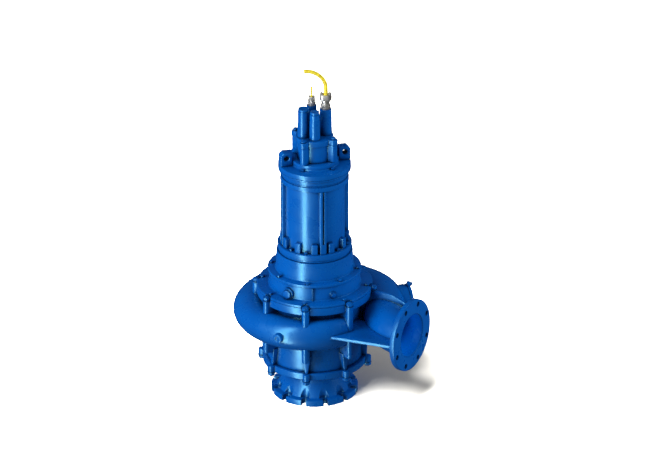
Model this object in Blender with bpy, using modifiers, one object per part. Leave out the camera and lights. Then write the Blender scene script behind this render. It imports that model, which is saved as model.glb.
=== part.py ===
"""Submersible sewage pump, standing on its suction flange.

Metres, +Z up. The pump's shaft axis is vertical and the outlet points along +X.
Pieces are modelled round the shaft axis, stacked from the floor up, under one empty
that puts the origin at the middle of the pump's footprint, on the floor.
"""

import math

import bmesh
import bpy
import numpy as np
from mathutils import Matrix, Vector

MM = 0.001
FIT = 0.3 * MM             # gap between pieces that are bolted or seated on each other
ROUND = 48                 # sides of the large turned castings
SMALL_ROUND = 20           # sides of bosses, plugs and glands
HOLE_ROUND = 12            # sides of bolt holes

# Suction flange, 250 mm nominal, with open slots for its twelve bolts
SUCTION_FLANGE_RADIUS = 200 * MM
SUCTION_FLANGE_THICKNESS = 30 * MM
SUCTION_BORE_RADIUS = 125 * MM
SUCTION_BOLT_CIRCLE_RADIUS = 175 * MM
SUCTION_SLOT_WIDTH = 23 * MM
SUCTION_BOLT_COUNT = 12
SPOT_FACE_RADIUS = 23 * MM
SPOT_FACE_DEPTH = 1 * MM

# Neck over the suction flange: heights are over the flange
NECK_RADIUS = 138 * MM
NECK_HEIGHT = 97 * MM
FLARE_RADIUS = 150 * MM
FLARE_HEIGHT = 45 * MM
FLARE_FOOT_RADIUS = 172 * MM
FLARE_END_HEIGHT = 66 * MM
SHOULDER_RADIUS = 190 * MM
SHOULDER_HEIGHT = 31 * MM
SHOULDER_CHAMFER = 6 * MM

# Joint between the suction cover and the volute casing
COVER_FLANGE_RADIUS = 240 * MM
COVER_FLANGE_THICKNESS = 32 * MM
COVER_LUG_SETBACK = 26 * MM            # of its lugs behind the casing's tall lugs
COVER_SPIGOT_HEIGHT = 108 * MM
WEAR_PLATE_THICKNESS = 12 * MM
WEAR_PLATE_GAP = 12 * MM               # between the plate and the casing's bore

# Volute casing: heights are over its foot
CASING_BOLT_COUNT = 8
CASING_BORE_RADIUS = 200 * MM
CASING_BODY_WALL = 21 * MM             # round the bore
CASING_WALL = 14 * MM
CASING_PLANE_HEIGHT = 205 * MM         # the spiral's middle plane
CASING_SHOULDER_HEIGHT = 311 * MM      # underside of the top flange
CASING_TOP_FLANGE_THICKNESS = 38 * MM
CASING_TOP_FLANGE_RADIUS = 267 * MM
LUG_OVERHANG = 23 * MM                 # of the lugs past the top flange
LUG_WIDTH = 32 * MM
LUG_FIRST_ANGLE = math.radians(21)
LUG_FOOT_HEIGHT = 74 * MM
LUG_TOP_RISE = 30 * MM                 # of the lug's top over the flange's underside
NUT_POCKET_RADIUS = 22 * MM
NUT_SEAT_DEPTH = 1 * MM
FIN_TOP_SETBACK = 44 * MM              # of the fins behind the lugs
FIN_FOOT_SETBACK = 46 * MM
FIN_TOP_WIDTH = 40 * MM
FIN_FOOT_WIDTH = 12 * MM

# The spiral: its reach follows a Bezier curve over the sweep, its section's half width
# rises towards a limit, and its half height grows as the swept angle's fourth power
SPIRAL_START_ANGLE = math.radians(-30)
SPIRAL_LEAD_IN = math.radians(6)
SPIRAL_SWEEP = math.radians(270)
SPIRAL_REACH_HANDLES = (287 * MM, 345 * MM, 450 * MM, 438 * MM)
SPIRAL_FIRST_WIDTH = 42 * MM
SPIRAL_WIDTH_LIMIT = 116 * MM
SPIRAL_WIDTH_TURN = math.radians(115)
SPIRAL_FIRST_HEIGHT = 76 * MM
SPIRAL_LAST_HEIGHT = 108 * MM
SPIRAL_SIDES = 28
SPIRAL_STATIONS = 24
NOZZLE_STATIONS = 9
NOZZLE_FIRST_PULL = 120 * MM           # length of the curve handles of the nozzle's bend
NOZZLE_LAST_PULL = 165 * MM
THROAT_RADIUS = 34 * MM                # passage from the bore into the far spiral
THROAT_MIDDLE_RADIUS = 214 * MM
THROAT_FIRST_SWEEP = math.radians(110)

# Outlet flange, 200 mm nominal
OUTLET_FACE_X = 513 * MM
OUTLET_OFFSET_Y = 8 * MM
OUTLET_FLANGE_RADIUS = 170 * MM
OUTLET_FLANGE_THICKNESS = 24 * MM
OUTLET_BORE_RADIUS = 100 * MM
OUTLET_NECK_WALL = 8 * MM
OUTLET_BOLT_CIRCLE_RADIUS = 147.5 * MM
OUTLET_BOLT_HOLE_RADIUS = 11.5 * MM
OUTLET_BOLT_COUNT = 8

# Horizontal web in the crook between spiral and nozzle
WEB_THICKNESS = 14 * MM
WEB_LIFT = 5 * MM
WEB_START = (210 * MM, -212 * MM)
WEB_END_Y = -158 * MM

# Rib along the nozzle's top, and a small plug boss beside it
NOZZLE_RIB_Y = 88 * MM
NOZZLE_RIB_WIDTH = 14 * MM
NOZZLE_RIB_START_X = 225 * MM
NOZZLE_RIB_FOOT = 35 * MM              # over the spiral's middle plane
NOZZLE_RIB_HIGH_TOP = 127 * MM
NOZZLE_RIB_LOW_TOP = 103 * MM
TAPPING_RADIUS = 10 * MM
TAPPING_RISE = 6 * MM

# Handhole on the outside of the nozzle's bend, with an eared cover
HANDHOLE_ANGLE = math.radians(45)
HANDHOLE_LIFT = -7 * MM
HANDHOLE_INSET = 26.6 * MM             # of the joint inside the bend's furthest reach
HANDHOLE_DEPTH = 96 * MM               # of the neck below its joint
HANDHOLE_RADIUS = 84 * MM
HANDHOLE_BORE_RADIUS = 62 * MM
HANDHOLE_COVER_RADIUS = 86 * MM
HANDHOLE_COVER_THICKNESS = 15 * MM
HANDHOLE_EAR_REACH = 105 * MM
HANDHOLE_EAR_WIDTH = 28 * MM
HANDHOLE_EAR_COUNT = 4

# Cleaning plug on the spiral's front
PLUG_ANGLE = math.radians(-90)
PLUG_LIFT = 5 * MM
PLUG_RADIUS = 22 * MM
PLUG_RISE = 14 * MM

# Impeller: a back plate with a hub and three curved vanes
IMPELLER_GAP = 22 * MM                 # between the impeller and the casing's bore
IMPELLER_CLEARANCE = 1 * MM
VANE_COUNT = 3
VANE_THICKNESS = 14 * MM
VANE_HEIGHT = 150 * MM
VANE_WRAP = math.radians(150)
VANE_EYE_RADIUS = 60 * MM
VANE_FIRST_ANGLE = math.radians(5)
BACK_PLATE_THICKNESS = 14 * MM
HUB_RADIUS = 46 * MM
HUB_NOSE_DROP = 40 * MM

# Casing cover with the oil chamber
CASING_COVER_THICKNESS = 12 * MM
CASING_COVER_SPIGOT = 16 * MM
OIL_CHAMBER_SETBACK = 60 * MM          # of the chamber inside the cover's rim
OIL_CHAMBER_DRAFT = 5 * MM             # how much wider the chamber is at its foot
OIL_CHAMBER_HEIGHT = 66 * MM
CASTING_RIB_ANGLE = math.radians(-62)
CASTING_RIB_WIDTH = 5 * MM
CASTING_RIB_RISE = 4 * MM

# Oil plugs: angle round the shaft axis, boss radius, rise over the chamber, head radius and
# length
OIL_PLUG_DROP = 42 * MM                # below the chamber's top
OIL_PLUGS = {
    "front": (math.radians(-94), 27 * MM, 15 * MM, 23 * MM, 13 * MM),
    "side": (math.radians(-36), 17 * MM, 7 * MM, 14 * MM, 7 * MM),
}

# Bearing bracket
BRACKET_FLANGE_OVERHANG = 10 * MM      # of its flange past the oil chamber
BRACKET_FLANGE_THICKNESS = 14 * MM
BRACKET_FOOT_RADIUS = 180 * MM
BRACKET_HEAD_RADIUS = 176 * MM
BRACKET_HEIGHT = 105 * MM

# Motor housing: gussets and rails stand on its foot flange
MOTOR_GROOVE_RADIUS = 168 * MM
MOTOR_GROOVE_HEIGHT = 11 * MM
MOTOR_FLANGE_RADIUS = 172 * MM
MOTOR_FLANGE_THICKNESS = 27 * MM
BARREL_RADIUS = 140 * MM
BARREL_HEIGHT = 317 * MM
GUSSET_COUNT = 12
GUSSET_REACH = 160 * MM
GUSSET_WIDTH = 38 * MM
GUSSET_HEIGHT = 70 * MM
RAIL_COUNT = 4
RAIL_REACH = 161 * MM
RAIL_WIDTH = 40 * MM
RAIL_GROOVE_WIDTH = 8 * MM
RAIL_GROOVE_DEPTH = 8 * MM
RAIL_GROOVE_START = 74 * MM            # over the foot flange

# Motor head ring and end cover
HEAD_RING_FOOT_SETBACK = 9 * MM        # of the cone inside the end cover's rim
HEAD_RING_TOP_SETBACK = 16 * MM
HEAD_RING_HEIGHT = 55 * MM
HEAD_FLANGE_THICKNESS = 8 * MM
END_COVER_RADIUS = 168 * MM
END_COVER_THICKNESS = 23 * MM
END_HUB_RADIUS = 110 * MM
END_HUB_HEIGHT = 24 * MM

# Lifting lugs on the end cover
LIFTING_LUG_ANGLES = {"front": math.radians(-135), "back": math.radians(45)}
LIFTING_LUG_OUTER_REACH = 166 * MM
LIFTING_LUG_THICKNESS = 45 * MM
LIFTING_LUG_HEIGHT = 66 * MM
LIFTING_LUG_CHAMFER = 14 * MM
LIFTING_EYE_RADIUS = 12 * MM
LIFTING_EYE_DROP = 27 * MM

# Terminal housing and its cover
TERMINAL_RADIUS = 80 * MM
TERMINAL_HEIGHT = 84 * MM
TERMINAL_BOLT_CIRCLE_RADIUS = 101 * MM
TERMINAL_COLUMN_RADIUS = 16 * MM
TERMINAL_COVER_RADIUS = 88 * MM
TERMINAL_COVER_THICKNESS = 27 * MM
TERMINAL_COVER_LUG_RADIUS = 19 * MM
TERMINAL_BOLT_COUNT = 4

# Cable entries: place over the terminal cover, radius at the top
TOWERS = {
    "left": ((-37 * MM, -37 * MM), 26 * MM),
    "front": ((25 * MM, -42 * MM), 22 * MM),
    "right": ((37 * MM, 37 * MM), 27 * MM),
    "rear": ((-37 * MM, 37 * MM), 23 * MM),
}
TOWER_SPREAD = 3 * MM                  # how much wider a tower is at its foot
TOWER_HEIGHT = 127 * MM
BLIND_CAP_HEIGHT = 12 * MM
BLIND_CAP_STEP = 1.5 * MM              # how much narrower a cap is than its tower

# Cable glands: a round body with a clamp saddle over it
POWER_GLAND_RADIUS = 22 * MM
POWER_GLAND_HEIGHT = 43 * MM
POWER_SADDLE_HEIGHT = 32 * MM
POWER_SADDLE_LENGTH = 56 * MM
POWER_SADDLE_WIDTH = 36 * MM
CONTROL_GLAND_RADIUS = 18 * MM
CONTROL_GLAND_HEIGHT = 28 * MM
CONTROL_SADDLE_HEIGHT = 17 * MM
CONTROL_SADDLE_LENGTH = 30 * MM
CONTROL_SADDLE_WIDTH = 20 * MM
CABLE_CLEARANCE = 0.5 * MM

# Cables, cut off a little over the glands
POWER_CABLE_DIAMETER = 18 * MM
CONTROL_CABLE_DIAMETER = 8 * MM
CONTROL_CABLE_LENGTH = 62 * MM
LEAN_ANGLE = math.radians(210)         # the power cable leans this way
# Power cable's route in millimetres, out along its lean and up from the gland's top
POWER_CABLE_ROUTE = (
    (0, 0), (0, 16), (-0.5, 33), (-1, 56), (1, 80), (8, 96),
    (18.5, 111.5), (36, 127.3), (54, 138), (71.5, 144), (96.5, 144.5),
)

BLUE = (0.0, 0.115, 0.47, 1.0)
DEEP_BLUE = (0.0, 0.085, 0.38, 1.0)
STEEL = (0.62, 0.62, 0.6, 1.0)
IRON = (0.16, 0.16, 0.17, 1.0)
YELLOW = (0.82, 0.66, 0.04, 1.0)

# Sizes that follow from their neighbours
CASING_BODY_RADIUS = CASING_BORE_RADIUS + CASING_BODY_WALL
WEAR_PLATE_RADIUS = CASING_BORE_RADIUS - WEAR_PLATE_GAP
IMPELLER_RADIUS = CASING_BORE_RADIUS - IMPELLER_GAP
LUG_REACH = CASING_TOP_FLANGE_RADIUS + LUG_OVERHANG
LUG_STUD_RADIUS = LUG_REACH - LUG_WIDTH / 2
FIN_TOP_REACH = LUG_REACH - FIN_TOP_SETBACK
FIN_FOOT_REACH = LUG_REACH - FIN_FOOT_SETBACK
COVER_LUG_REACH = LUG_REACH - COVER_LUG_SETBACK
OIL_CHAMBER_RADIUS = CASING_TOP_FLANGE_RADIUS - OIL_CHAMBER_SETBACK
OIL_CHAMBER_FOOT_RADIUS = OIL_CHAMBER_RADIUS + OIL_CHAMBER_DRAFT
BRACKET_FLANGE_RADIUS = OIL_CHAMBER_RADIUS + BRACKET_FLANGE_OVERHANG
HEAD_RING_FOOT_RADIUS = END_COVER_RADIUS - HEAD_RING_FOOT_SETBACK
HEAD_RING_TOP_RADIUS = END_COVER_RADIUS - HEAD_RING_TOP_SETBACK

# Heights of the joints, from the floor up
NECK_FOOT_Z = SUCTION_FLANGE_THICKNESS
NECK_TOP_Z = NECK_FOOT_Z + NECK_HEIGHT
SHOULDER_TOP_Z = NECK_TOP_Z + SHOULDER_HEIGHT
COVER_TOP_Z = SHOULDER_TOP_Z + COVER_FLANGE_THICKNESS
SPIGOT_TOP_Z = COVER_TOP_Z + COVER_SPIGOT_HEIGHT
CASING_FOOT_Z = COVER_TOP_Z + FIT
SPIRAL_Z = CASING_FOOT_Z + CASING_PLANE_HEIGHT
CASING_SHOULDER_Z = CASING_FOOT_Z + CASING_SHOULDER_HEIGHT
LUG_TOP_Z = CASING_SHOULDER_Z + LUG_TOP_RISE
CASING_TOP_Z = CASING_SHOULDER_Z + CASING_TOP_FLANGE_THICKNESS
CASING_COVER_Z = CASING_TOP_Z + FIT
CHAMBER_FOOT_Z = CASING_COVER_Z + CASING_COVER_THICKNESS
CHAMBER_TOP_Z = CHAMBER_FOOT_Z + OIL_CHAMBER_HEIGHT
BRACKET_Z = CHAMBER_TOP_Z + FIT
BRACKET_TOP_Z = BRACKET_Z + BRACKET_HEIGHT
MOTOR_Z = BRACKET_TOP_Z + FIT
MOTOR_FLANGE_Z = MOTOR_Z + MOTOR_GROOVE_HEIGHT
BARREL_FOOT_Z = MOTOR_FLANGE_Z + MOTOR_FLANGE_THICKNESS
BARREL_TOP_Z = BARREL_FOOT_Z + BARREL_HEIGHT
HEAD_RING_Z = BARREL_TOP_Z + FIT
HEAD_FLANGE_Z = HEAD_RING_Z + HEAD_RING_HEIGHT
HEAD_RING_TOP_Z = HEAD_FLANGE_Z + HEAD_FLANGE_THICKNESS
END_COVER_Z = HEAD_RING_TOP_Z + FIT
END_COVER_TOP_Z = END_COVER_Z + END_COVER_THICKNESS
END_HUB_TOP_Z = END_COVER_TOP_Z + END_HUB_HEIGHT
LIFTING_LUG_Z = END_COVER_TOP_Z + FIT
TERMINAL_Z = END_HUB_TOP_Z + FIT
TERMINAL_TOP_Z = TERMINAL_Z + TERMINAL_HEIGHT
TERMINAL_COVER_Z = TERMINAL_TOP_Z + FIT
TERMINAL_COVER_TOP_Z = TERMINAL_COVER_Z + TERMINAL_COVER_THICKNESS
TOWER_Z = TERMINAL_COVER_TOP_Z + FIT
TOWER_TOP_Z = TOWER_Z + TOWER_HEIGHT

parts = None
cutters = None
pump = None


def clear_scene():
    """Remove what is in the scene and make the collections and the parent empty."""
    global parts, cutters, pump
    for thing in list(bpy.data.objects):
        bpy.data.objects.remove(thing, do_unlink=True)
    parts = bpy.data.collections.new("submersible_pump")
    cutters = bpy.data.collections.new("cutters")
    bpy.context.scene.collection.children.link(parts)
    bpy.context.scene.collection.children.link(cutters)
    pump = bpy.data.objects.new("pump_axis", None)
    parts.objects.link(pump)


def paint(name, colour, roughness, metallic):
    """A plain material for one sub-part."""
    material = bpy.data.materials.new(name)
    material.use_nodes = True
    shader = material.node_tree.nodes["Principled BSDF"]
    shader.inputs["Base Color"].default_value = colour
    shader.inputs["Roughness"].default_value = roughness
    shader.inputs["Metallic"].default_value = metallic
    return material


def new_object(name, mesh, is_tool=False):
    """Link a mesh as a part under the pump's empty, or as a hidden tool body."""
    thing = bpy.data.objects.new(name, mesh)
    thing.parent = pump
    if is_tool:
        thing.hide_render = True
        thing.display_type = "WIRE"
        cutters.objects.link(thing)
    else:
        parts.objects.link(thing)
    return thing


def turned(name, profile, is_closed=True, sides=ROUND, is_tool=False):
    """A profile of (radius, height) points turned round Z.

    The points run down the outer side and back up the bore; an open profile starts
    and ends on the axis.
    """
    mesh = bpy.data.meshes.new(name)
    points = [(radius, 0.0, height) for radius, height in profile]
    edges = [(i, i + 1) for i in range(len(points) - 1)]
    if is_closed:
        edges.append((len(points) - 1, 0))
    mesh.from_pydata(points, edges, [])
    thing = new_object(name, mesh, is_tool)
    screw = thing.modifiers.new("turn", "SCREW")
    screw.axis = "Z"
    screw.angle = math.tau
    screw.steps = sides
    screw.render_steps = sides
    screw.use_merge_vertices = True
    screw.merge_threshold = 0.00001
    screw.use_smooth_shade = True
    return thing


def rod(name, radius, foot, top, sides=SMALL_ROUND, top_radius=None, is_tool=False):
    """A round or many-sided bar between two points, tapered if top_radius is given."""
    start = Vector(foot)
    along = Vector(top) - start
    body = bmesh.new()
    bmesh.ops.create_cone(
        body, cap_ends=True, segments=sides, radius1=radius,
        radius2=radius if top_radius is None else top_radius, depth=along.length,
    )
    turn = along.to_track_quat("Z", "Y").to_matrix().to_4x4()
    middle = Matrix.Translation(start + along / 2)
    bmesh.ops.transform(body, matrix=middle @ turn, verts=body.verts)
    return mesh_object(name, body, is_tool)


def mesh_object(name, body, is_tool=False):
    """Turn a bmesh into an object, with its faces pointing out."""
    bmesh.ops.recalc_face_normals(body, faces=body.faces)
    mesh = bpy.data.meshes.new(name)
    body.to_mesh(mesh)
    body.free()
    return new_object(name, mesh, is_tool)


def block(name, low, high, angle=0.0, is_tool=False):
    """A box between two corners, turned round Z by an angle."""
    body = bmesh.new()
    bmesh.ops.create_cube(body, size=1.0)
    size = Vector(high) - Vector(low)
    middle = (Vector(high) + Vector(low)) / 2
    place = Matrix.Rotation(angle, 4, "Z") @ Matrix.Translation(middle)
    bmesh.ops.transform(body, matrix=place @ Matrix.Diagonal((*size, 1.0)), verts=body.verts)
    return mesh_object(name, body, is_tool)


def as_mesh(curve_object, name, is_tool):
    """Replace a curve object by the mesh it evaluates to, with its caps welded."""
    graph = bpy.context.evaluated_depsgraph_get()
    mesh = bpy.data.meshes.new_from_object(curve_object.evaluated_get(graph))
    body = bmesh.new()
    body.from_mesh(mesh)
    bmesh.ops.remove_doubles(body, verts=body.verts, dist=0.000001)
    body.transform(curve_object.matrix_world)
    bpy.data.objects.remove(curve_object, do_unlink=True)
    return mesh_object(name, body, is_tool)


def prism(name, outline, foot, top, is_tool=False):
    """A flat outline of (x, y) points, extruded between two heights."""
    curve = bpy.data.curves.new(name + "_outline", "CURVE")
    curve.dimensions = "2D"
    curve.fill_mode = "BOTH"
    curve.extrude = (top - foot) / 2
    spline = curve.splines.new("POLY")
    spline.points.add(len(outline) - 1)
    for point, (x, y) in zip(spline.points, outline):
        point.co = (x, y, 0.0, 1.0)
    spline.use_cyclic_u = True
    thing = bpy.data.objects.new(name + "_outline", curve)
    thing.location.z = (foot + top) / 2
    cutters.objects.link(thing)
    bpy.context.view_layer.update()
    return as_mesh(thing, name, is_tool)


def tube(name, points, radii, resolution, is_tool=False):
    """A tube along points, with its own radius at each point."""
    curve = bpy.data.curves.new(name + "_line", "CURVE")
    curve.dimensions = "3D"
    curve.twist_mode = "Z_UP"
    curve.bevel_depth = 1.0
    curve.bevel_resolution = resolution
    curve.use_fill_caps = True
    spline = curve.splines.new("POLY")
    spline.points.add(len(points) - 1)
    for point, place, radius in zip(spline.points, points, radii):
        point.co = (*place, 1.0)
        point.radius = radius
    thing = bpy.data.objects.new(name + "_line", curve)
    cutters.objects.link(thing)
    bpy.context.view_layer.update()
    return as_mesh(thing, name, is_tool)


def ring_of(thing, count, first_angle=0.0):
    """Repeat a tool body round the shaft axis, in the same mesh."""
    body = bmesh.new()
    for index in range(count):
        turn = Matrix.Rotation(first_angle + math.tau * index / count, 4, "Z")
        before = set(body.verts)
        body.from_mesh(thing.data)
        new = [vert for vert in body.verts if vert not in before]
        bmesh.ops.transform(body, matrix=turn, verts=new)
    body.to_mesh(thing.data)
    body.free()
    return thing


def combine(target, tool, operation):
    """Join a tool body to a part, or cut it out of the part."""
    boolean = target.modifiers.new(tool.name, "BOOLEAN")
    boolean.operation = operation
    boolean.solver = "EXACT"
    boolean.object = tool


def join(target, *tools):
    for tool in tools:
        combine(target, tool, "UNION")


def cut(target, *tools):
    for tool in tools:
        combine(target, tool, "DIFFERENCE")


def finish(thing, material):
    """Settle a part's modifiers into its mesh, shade it and give it its material."""
    bpy.context.view_layer.update()
    graph = bpy.context.evaluated_depsgraph_get()
    mesh = bpy.data.meshes.new_from_object(thing.evaluated_get(graph))
    mesh.name = thing.name
    thing.modifiers.clear()
    thing.data = mesh
    mesh.shade_smooth()
    mesh.set_sharp_from_angle(angle=math.radians(32))
    mesh.materials.clear()
    mesh.materials.append(material)
    return thing


def polar(radius, angle, height=0.0):
    """A point at a radius and an angle round the shaft axis."""
    return Vector((radius * math.cos(angle), radius * math.sin(angle), height))


def tongue_outline(inner, reach, width, steps=8):
    """A lug's outline along +X: straight sides and a round outer end."""
    half = width / 2
    centre = reach - half
    points = [(inner, -half)]
    for index in range(steps + 1):
        angle = -math.pi / 2 + math.pi * index / steps
        points.append((centre + half * math.cos(angle), half * math.sin(angle)))
    points.append((inner, half))
    return points


def build_suction_cover():
    """Slotted flange, flared neck, shoulder and the flange that meets the casing."""
    cover = turned("suction_cover", [
        (CASING_BORE_RADIUS - FIT, SPIGOT_TOP_Z),
        (CASING_BORE_RADIUS - FIT, COVER_TOP_Z),
        (COVER_FLANGE_RADIUS, COVER_TOP_Z),
        (COVER_FLANGE_RADIUS, SHOULDER_TOP_Z),
        (SHOULDER_RADIUS, SHOULDER_TOP_Z),
        (SHOULDER_RADIUS, NECK_TOP_Z + SHOULDER_CHAMFER),
        (SHOULDER_RADIUS - SHOULDER_CHAMFER, NECK_TOP_Z),
        (NECK_RADIUS, NECK_TOP_Z),
        (NECK_RADIUS, NECK_FOOT_Z + FLARE_END_HEIGHT),
        (FLARE_RADIUS, NECK_FOOT_Z + FLARE_HEIGHT),
        (FLARE_FOOT_RADIUS, NECK_FOOT_Z),
        (SUCTION_FLANGE_RADIUS, NECK_FOOT_Z),
        (SUCTION_FLANGE_RADIUS, 0.0),
        (SUCTION_BORE_RADIUS, 0.0),
        (SUCTION_BORE_RADIUS, SPIGOT_TOP_Z),
    ])
    lug = prism(
        "cover_lugs", tongue_outline(SHOULDER_RADIUS, COVER_LUG_REACH, LUG_WIDTH),
        SHOULDER_TOP_Z, COVER_TOP_Z, is_tool=True,
    )
    join(cover, ring_of(lug, CASING_BOLT_COUNT, LUG_FIRST_ANGLE))

    first_slot = math.pi / SUCTION_BOLT_COUNT
    half = SUCTION_SLOT_WIDTH / 2
    slot = prism("suction_slots", slot_outline(half), -half, NECK_FOOT_Z + half, is_tool=True)
    spot_face = rod(
        "spot_faces", SPOT_FACE_RADIUS,
        (SUCTION_BOLT_CIRCLE_RADIUS, 0, NECK_FOOT_Z - SPOT_FACE_DEPTH),
        (SUCTION_BOLT_CIRCLE_RADIUS, 0, NECK_FOOT_Z + FLARE_END_HEIGHT), is_tool=True,
    )
    cut(
        cover, ring_of(spot_face, SUCTION_BOLT_COUNT, first_slot),
        ring_of(slot, SUCTION_BOLT_COUNT, first_slot),
    )
    return finish(cover, paint("suction_cover_blue", BLUE, 0.4, 0.0))


def slot_outline(half, steps=6):
    """An open slot along +X, from a round end on the bolt circle out past the rim."""
    centre = SUCTION_BOLT_CIRCLE_RADIUS
    outer = SUCTION_FLANGE_RADIUS + half
    points = [(outer, half)]
    for index in range(steps + 1):
        angle = math.pi / 2 + math.pi * index / steps
        points.append((centre + half * math.cos(angle), half * math.sin(angle)))
    points.append((outer, -half))
    return points


def spiral_reach(swept):
    """Outer reach of the spiral at swept angles, along its Bezier curve."""
    share = (np.asarray(swept) + SPIRAL_LEAD_IN) / (SPIRAL_SWEEP + SPIRAL_LEAD_IN)
    return bezier(SPIRAL_REACH_HANDLES, share)


def spiral_line():
    """Middle line, half widths and half heights of the spiral and the nozzle after it."""
    swept = np.linspace(-SPIRAL_LEAD_IN, SPIRAL_SWEEP, SPIRAL_STATIONS)
    fall = (SPIRAL_WIDTH_LIMIT - SPIRAL_FIRST_WIDTH) * np.exp(-swept / SPIRAL_WIDTH_TURN)
    width = SPIRAL_WIDTH_LIMIT - fall
    growth = SPIRAL_LAST_HEIGHT - SPIRAL_FIRST_HEIGHT
    height = SPIRAL_FIRST_HEIGHT + growth * (swept / SPIRAL_SWEEP) ** 4
    middle = spiral_reach(swept) - width
    angle = SPIRAL_START_ANGLE - swept
    spiral = np.stack([middle * np.cos(angle), middle * np.sin(angle)], axis=1)

    heading = np.array([math.sin(angle[-1]), -math.cos(angle[-1])])
    end = np.array([OUTLET_FACE_X - OUTLET_FLANGE_THICKNESS, OUTLET_OFFSET_Y])
    handles = (
        spiral[-1],
        spiral[-1] + heading * NOZZLE_FIRST_PULL,
        end - np.array([NOZZLE_LAST_PULL, 0.0]),
        end,
    )
    share = np.linspace(0.0, 1.0, NOZZLE_STATIONS)[1:]
    inside_flange = end + np.array([OUTLET_FLANGE_THICKNESS / 2, 0.0])
    flat = np.concatenate([spiral, bezier(handles, share[:, None]), [inside_flange]])
    neck = OUTLET_BORE_RADIUS + OUTLET_NECK_WALL
    halves = [
        np.concatenate([half, half[-1] + (neck - half[-1]) * share, [neck]])
        for half in (width, height)
    ]
    return np.column_stack([flat, np.full(len(flat), SPIRAL_Z)]), *halves


def bezier(handles, share):
    """A cubic Bezier curve with four handles at the given shares."""
    back = 1.0 - share
    first, second, third, last = handles
    return (
        back ** 3 * first + 3 * back ** 2 * share * second
        + 3 * back * share ** 2 * third + share ** 3 * last
    )


def build_volute_casing():
    """Spiral casing with its nozzle, flanges, lugs, fins and web, and its hollow."""
    casing = turned("volute_casing", [
        (0.0, CASING_TOP_Z),
        (CASING_TOP_FLANGE_RADIUS, CASING_TOP_Z),
        (CASING_TOP_FLANGE_RADIUS, CASING_SHOULDER_Z),
        (CASING_BODY_RADIUS, CASING_SHOULDER_Z),
        (CASING_BODY_RADIUS, CASING_FOOT_Z),
        (0.0, CASING_FOOT_Z),
    ], is_closed=False)
    line, width, height = spiral_line()
    join(casing, tall_lugs(), oval_tube("spiral_outside", line, width, height))
    join(casing, outlet_flange(), casing_web(), low_fins(), nozzle_rib())
    join(casing, plug_boss(), tapping(line, height), handhole_neck())

    past = line[-1] + np.array([OUTLET_FLANGE_THICKNESS * 2, 0.0, 0.0])
    wall = np.interp(
        np.arange(1, len(line) - 1), [SPIRAL_STATIONS, len(line) - 2],
        [CASING_WALL, OUTLET_NECK_WALL],
    )
    hollow = oval_tube(
        "spiral_inside", np.vstack([line[1:-1], past]),
        np.append(width[1:-1] - wall, OUTLET_BORE_RADIUS),
        np.append(height[1:-1] - wall, OUTLET_BORE_RADIUS),
    )
    bore = rod(
        "casing_bore", CASING_BORE_RADIUS, (0, 0, CASING_FOOT_Z - CASING_WALL),
        (0, 0, CASING_TOP_Z + CASING_WALL), sides=ROUND, is_tool=True,
    )
    cut(casing, hollow, bore, throat(), handhole_bore(), outlet_holes(), nut_pockets(CASING_TOP_Z))
    return finish(casing, paint("casing_blue", BLUE, 0.4, 0.0))


def oval_tube(name, line, width, height):
    """Tool body: an ellipse carried along a level line, by its half widths and heights.

    The last two ellipses are square to the last stretch.
    """
    heading = np.gradient(line, axis=0)
    heading[-2:] = line[-1] - line[-2]
    side = np.column_stack([-heading[:, 1], heading[:, 0], np.zeros(len(line))])
    side /= np.linalg.norm(side, axis=1)[:, None]
    body = bmesh.new()
    rings = []
    for place, across, half_width, half_height in zip(line, side, width, height):
        ring = []
        for angle in np.linspace(0.0, math.tau, SPIRAL_SIDES, endpoint=False):
            point = place + across * half_width * math.cos(angle)
            point[2] += half_height * math.sin(angle)
            ring.append(body.verts.new(point))
        rings.append(ring)
    body.faces.new(rings[0])
    body.faces.new(rings[-1])
    for first, second in zip(rings, rings[1:]):
        walls(body, first, second)
    return mesh_object(name, body, is_tool=True)


def outlet_flange():
    foot = (OUTLET_FACE_X - OUTLET_FLANGE_THICKNESS, OUTLET_OFFSET_Y, SPIRAL_Z)
    face = (OUTLET_FACE_X, OUTLET_OFFSET_Y, SPIRAL_Z)
    return rod("outlet_flange", OUTLET_FLANGE_RADIUS, foot, face, sides=ROUND, is_tool=True)


def outlet_holes():
    """Bolt holes through the outlet flange, astride its centre lines."""
    body = bmesh.new()
    for index in range(OUTLET_BOLT_COUNT):
        angle = math.tau * (index + 0.5) / OUTLET_BOLT_COUNT
        place = (
            OUTLET_FACE_X - OUTLET_FLANGE_THICKNESS / 2,
            OUTLET_OFFSET_Y + OUTLET_BOLT_CIRCLE_RADIUS * math.cos(angle),
            SPIRAL_Z + OUTLET_BOLT_CIRCLE_RADIUS * math.sin(angle),
        )
        bmesh.ops.create_cone(
            body, cap_ends=True, segments=HOLE_ROUND, radius1=OUTLET_BOLT_HOLE_RADIUS,
            radius2=OUTLET_BOLT_HOLE_RADIUS, depth=OUTLET_FLANGE_THICKNESS * 2,
            matrix=Matrix.Translation(place) @ Matrix.Rotation(math.pi / 2, 4, "Y"),
        )
    return mesh_object("outlet_holes", body, is_tool=True)


def casing_web():
    """Horizontal web from the spiral's front to the outlet flange."""
    end_x = OUTLET_FACE_X - OUTLET_FLANGE_THICKNESS / 2
    inner = CASING_BORE_RADIUS + CASING_WALL / 2
    outline = [
        WEB_START,
        (end_x, WEB_END_Y),
        (end_x, OUTLET_OFFSET_Y),
        (inner, OUTLET_OFFSET_Y),
        (inner * math.cos(SPIRAL_START_ANGLE * 1.5), inner * math.sin(SPIRAL_START_ANGLE * 1.5)),
    ]
    foot = SPIRAL_Z + WEB_LIFT - WEB_THICKNESS / 2
    return prism("casing_web", outline, foot, foot + WEB_THICKNESS, is_tool=True)


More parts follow.
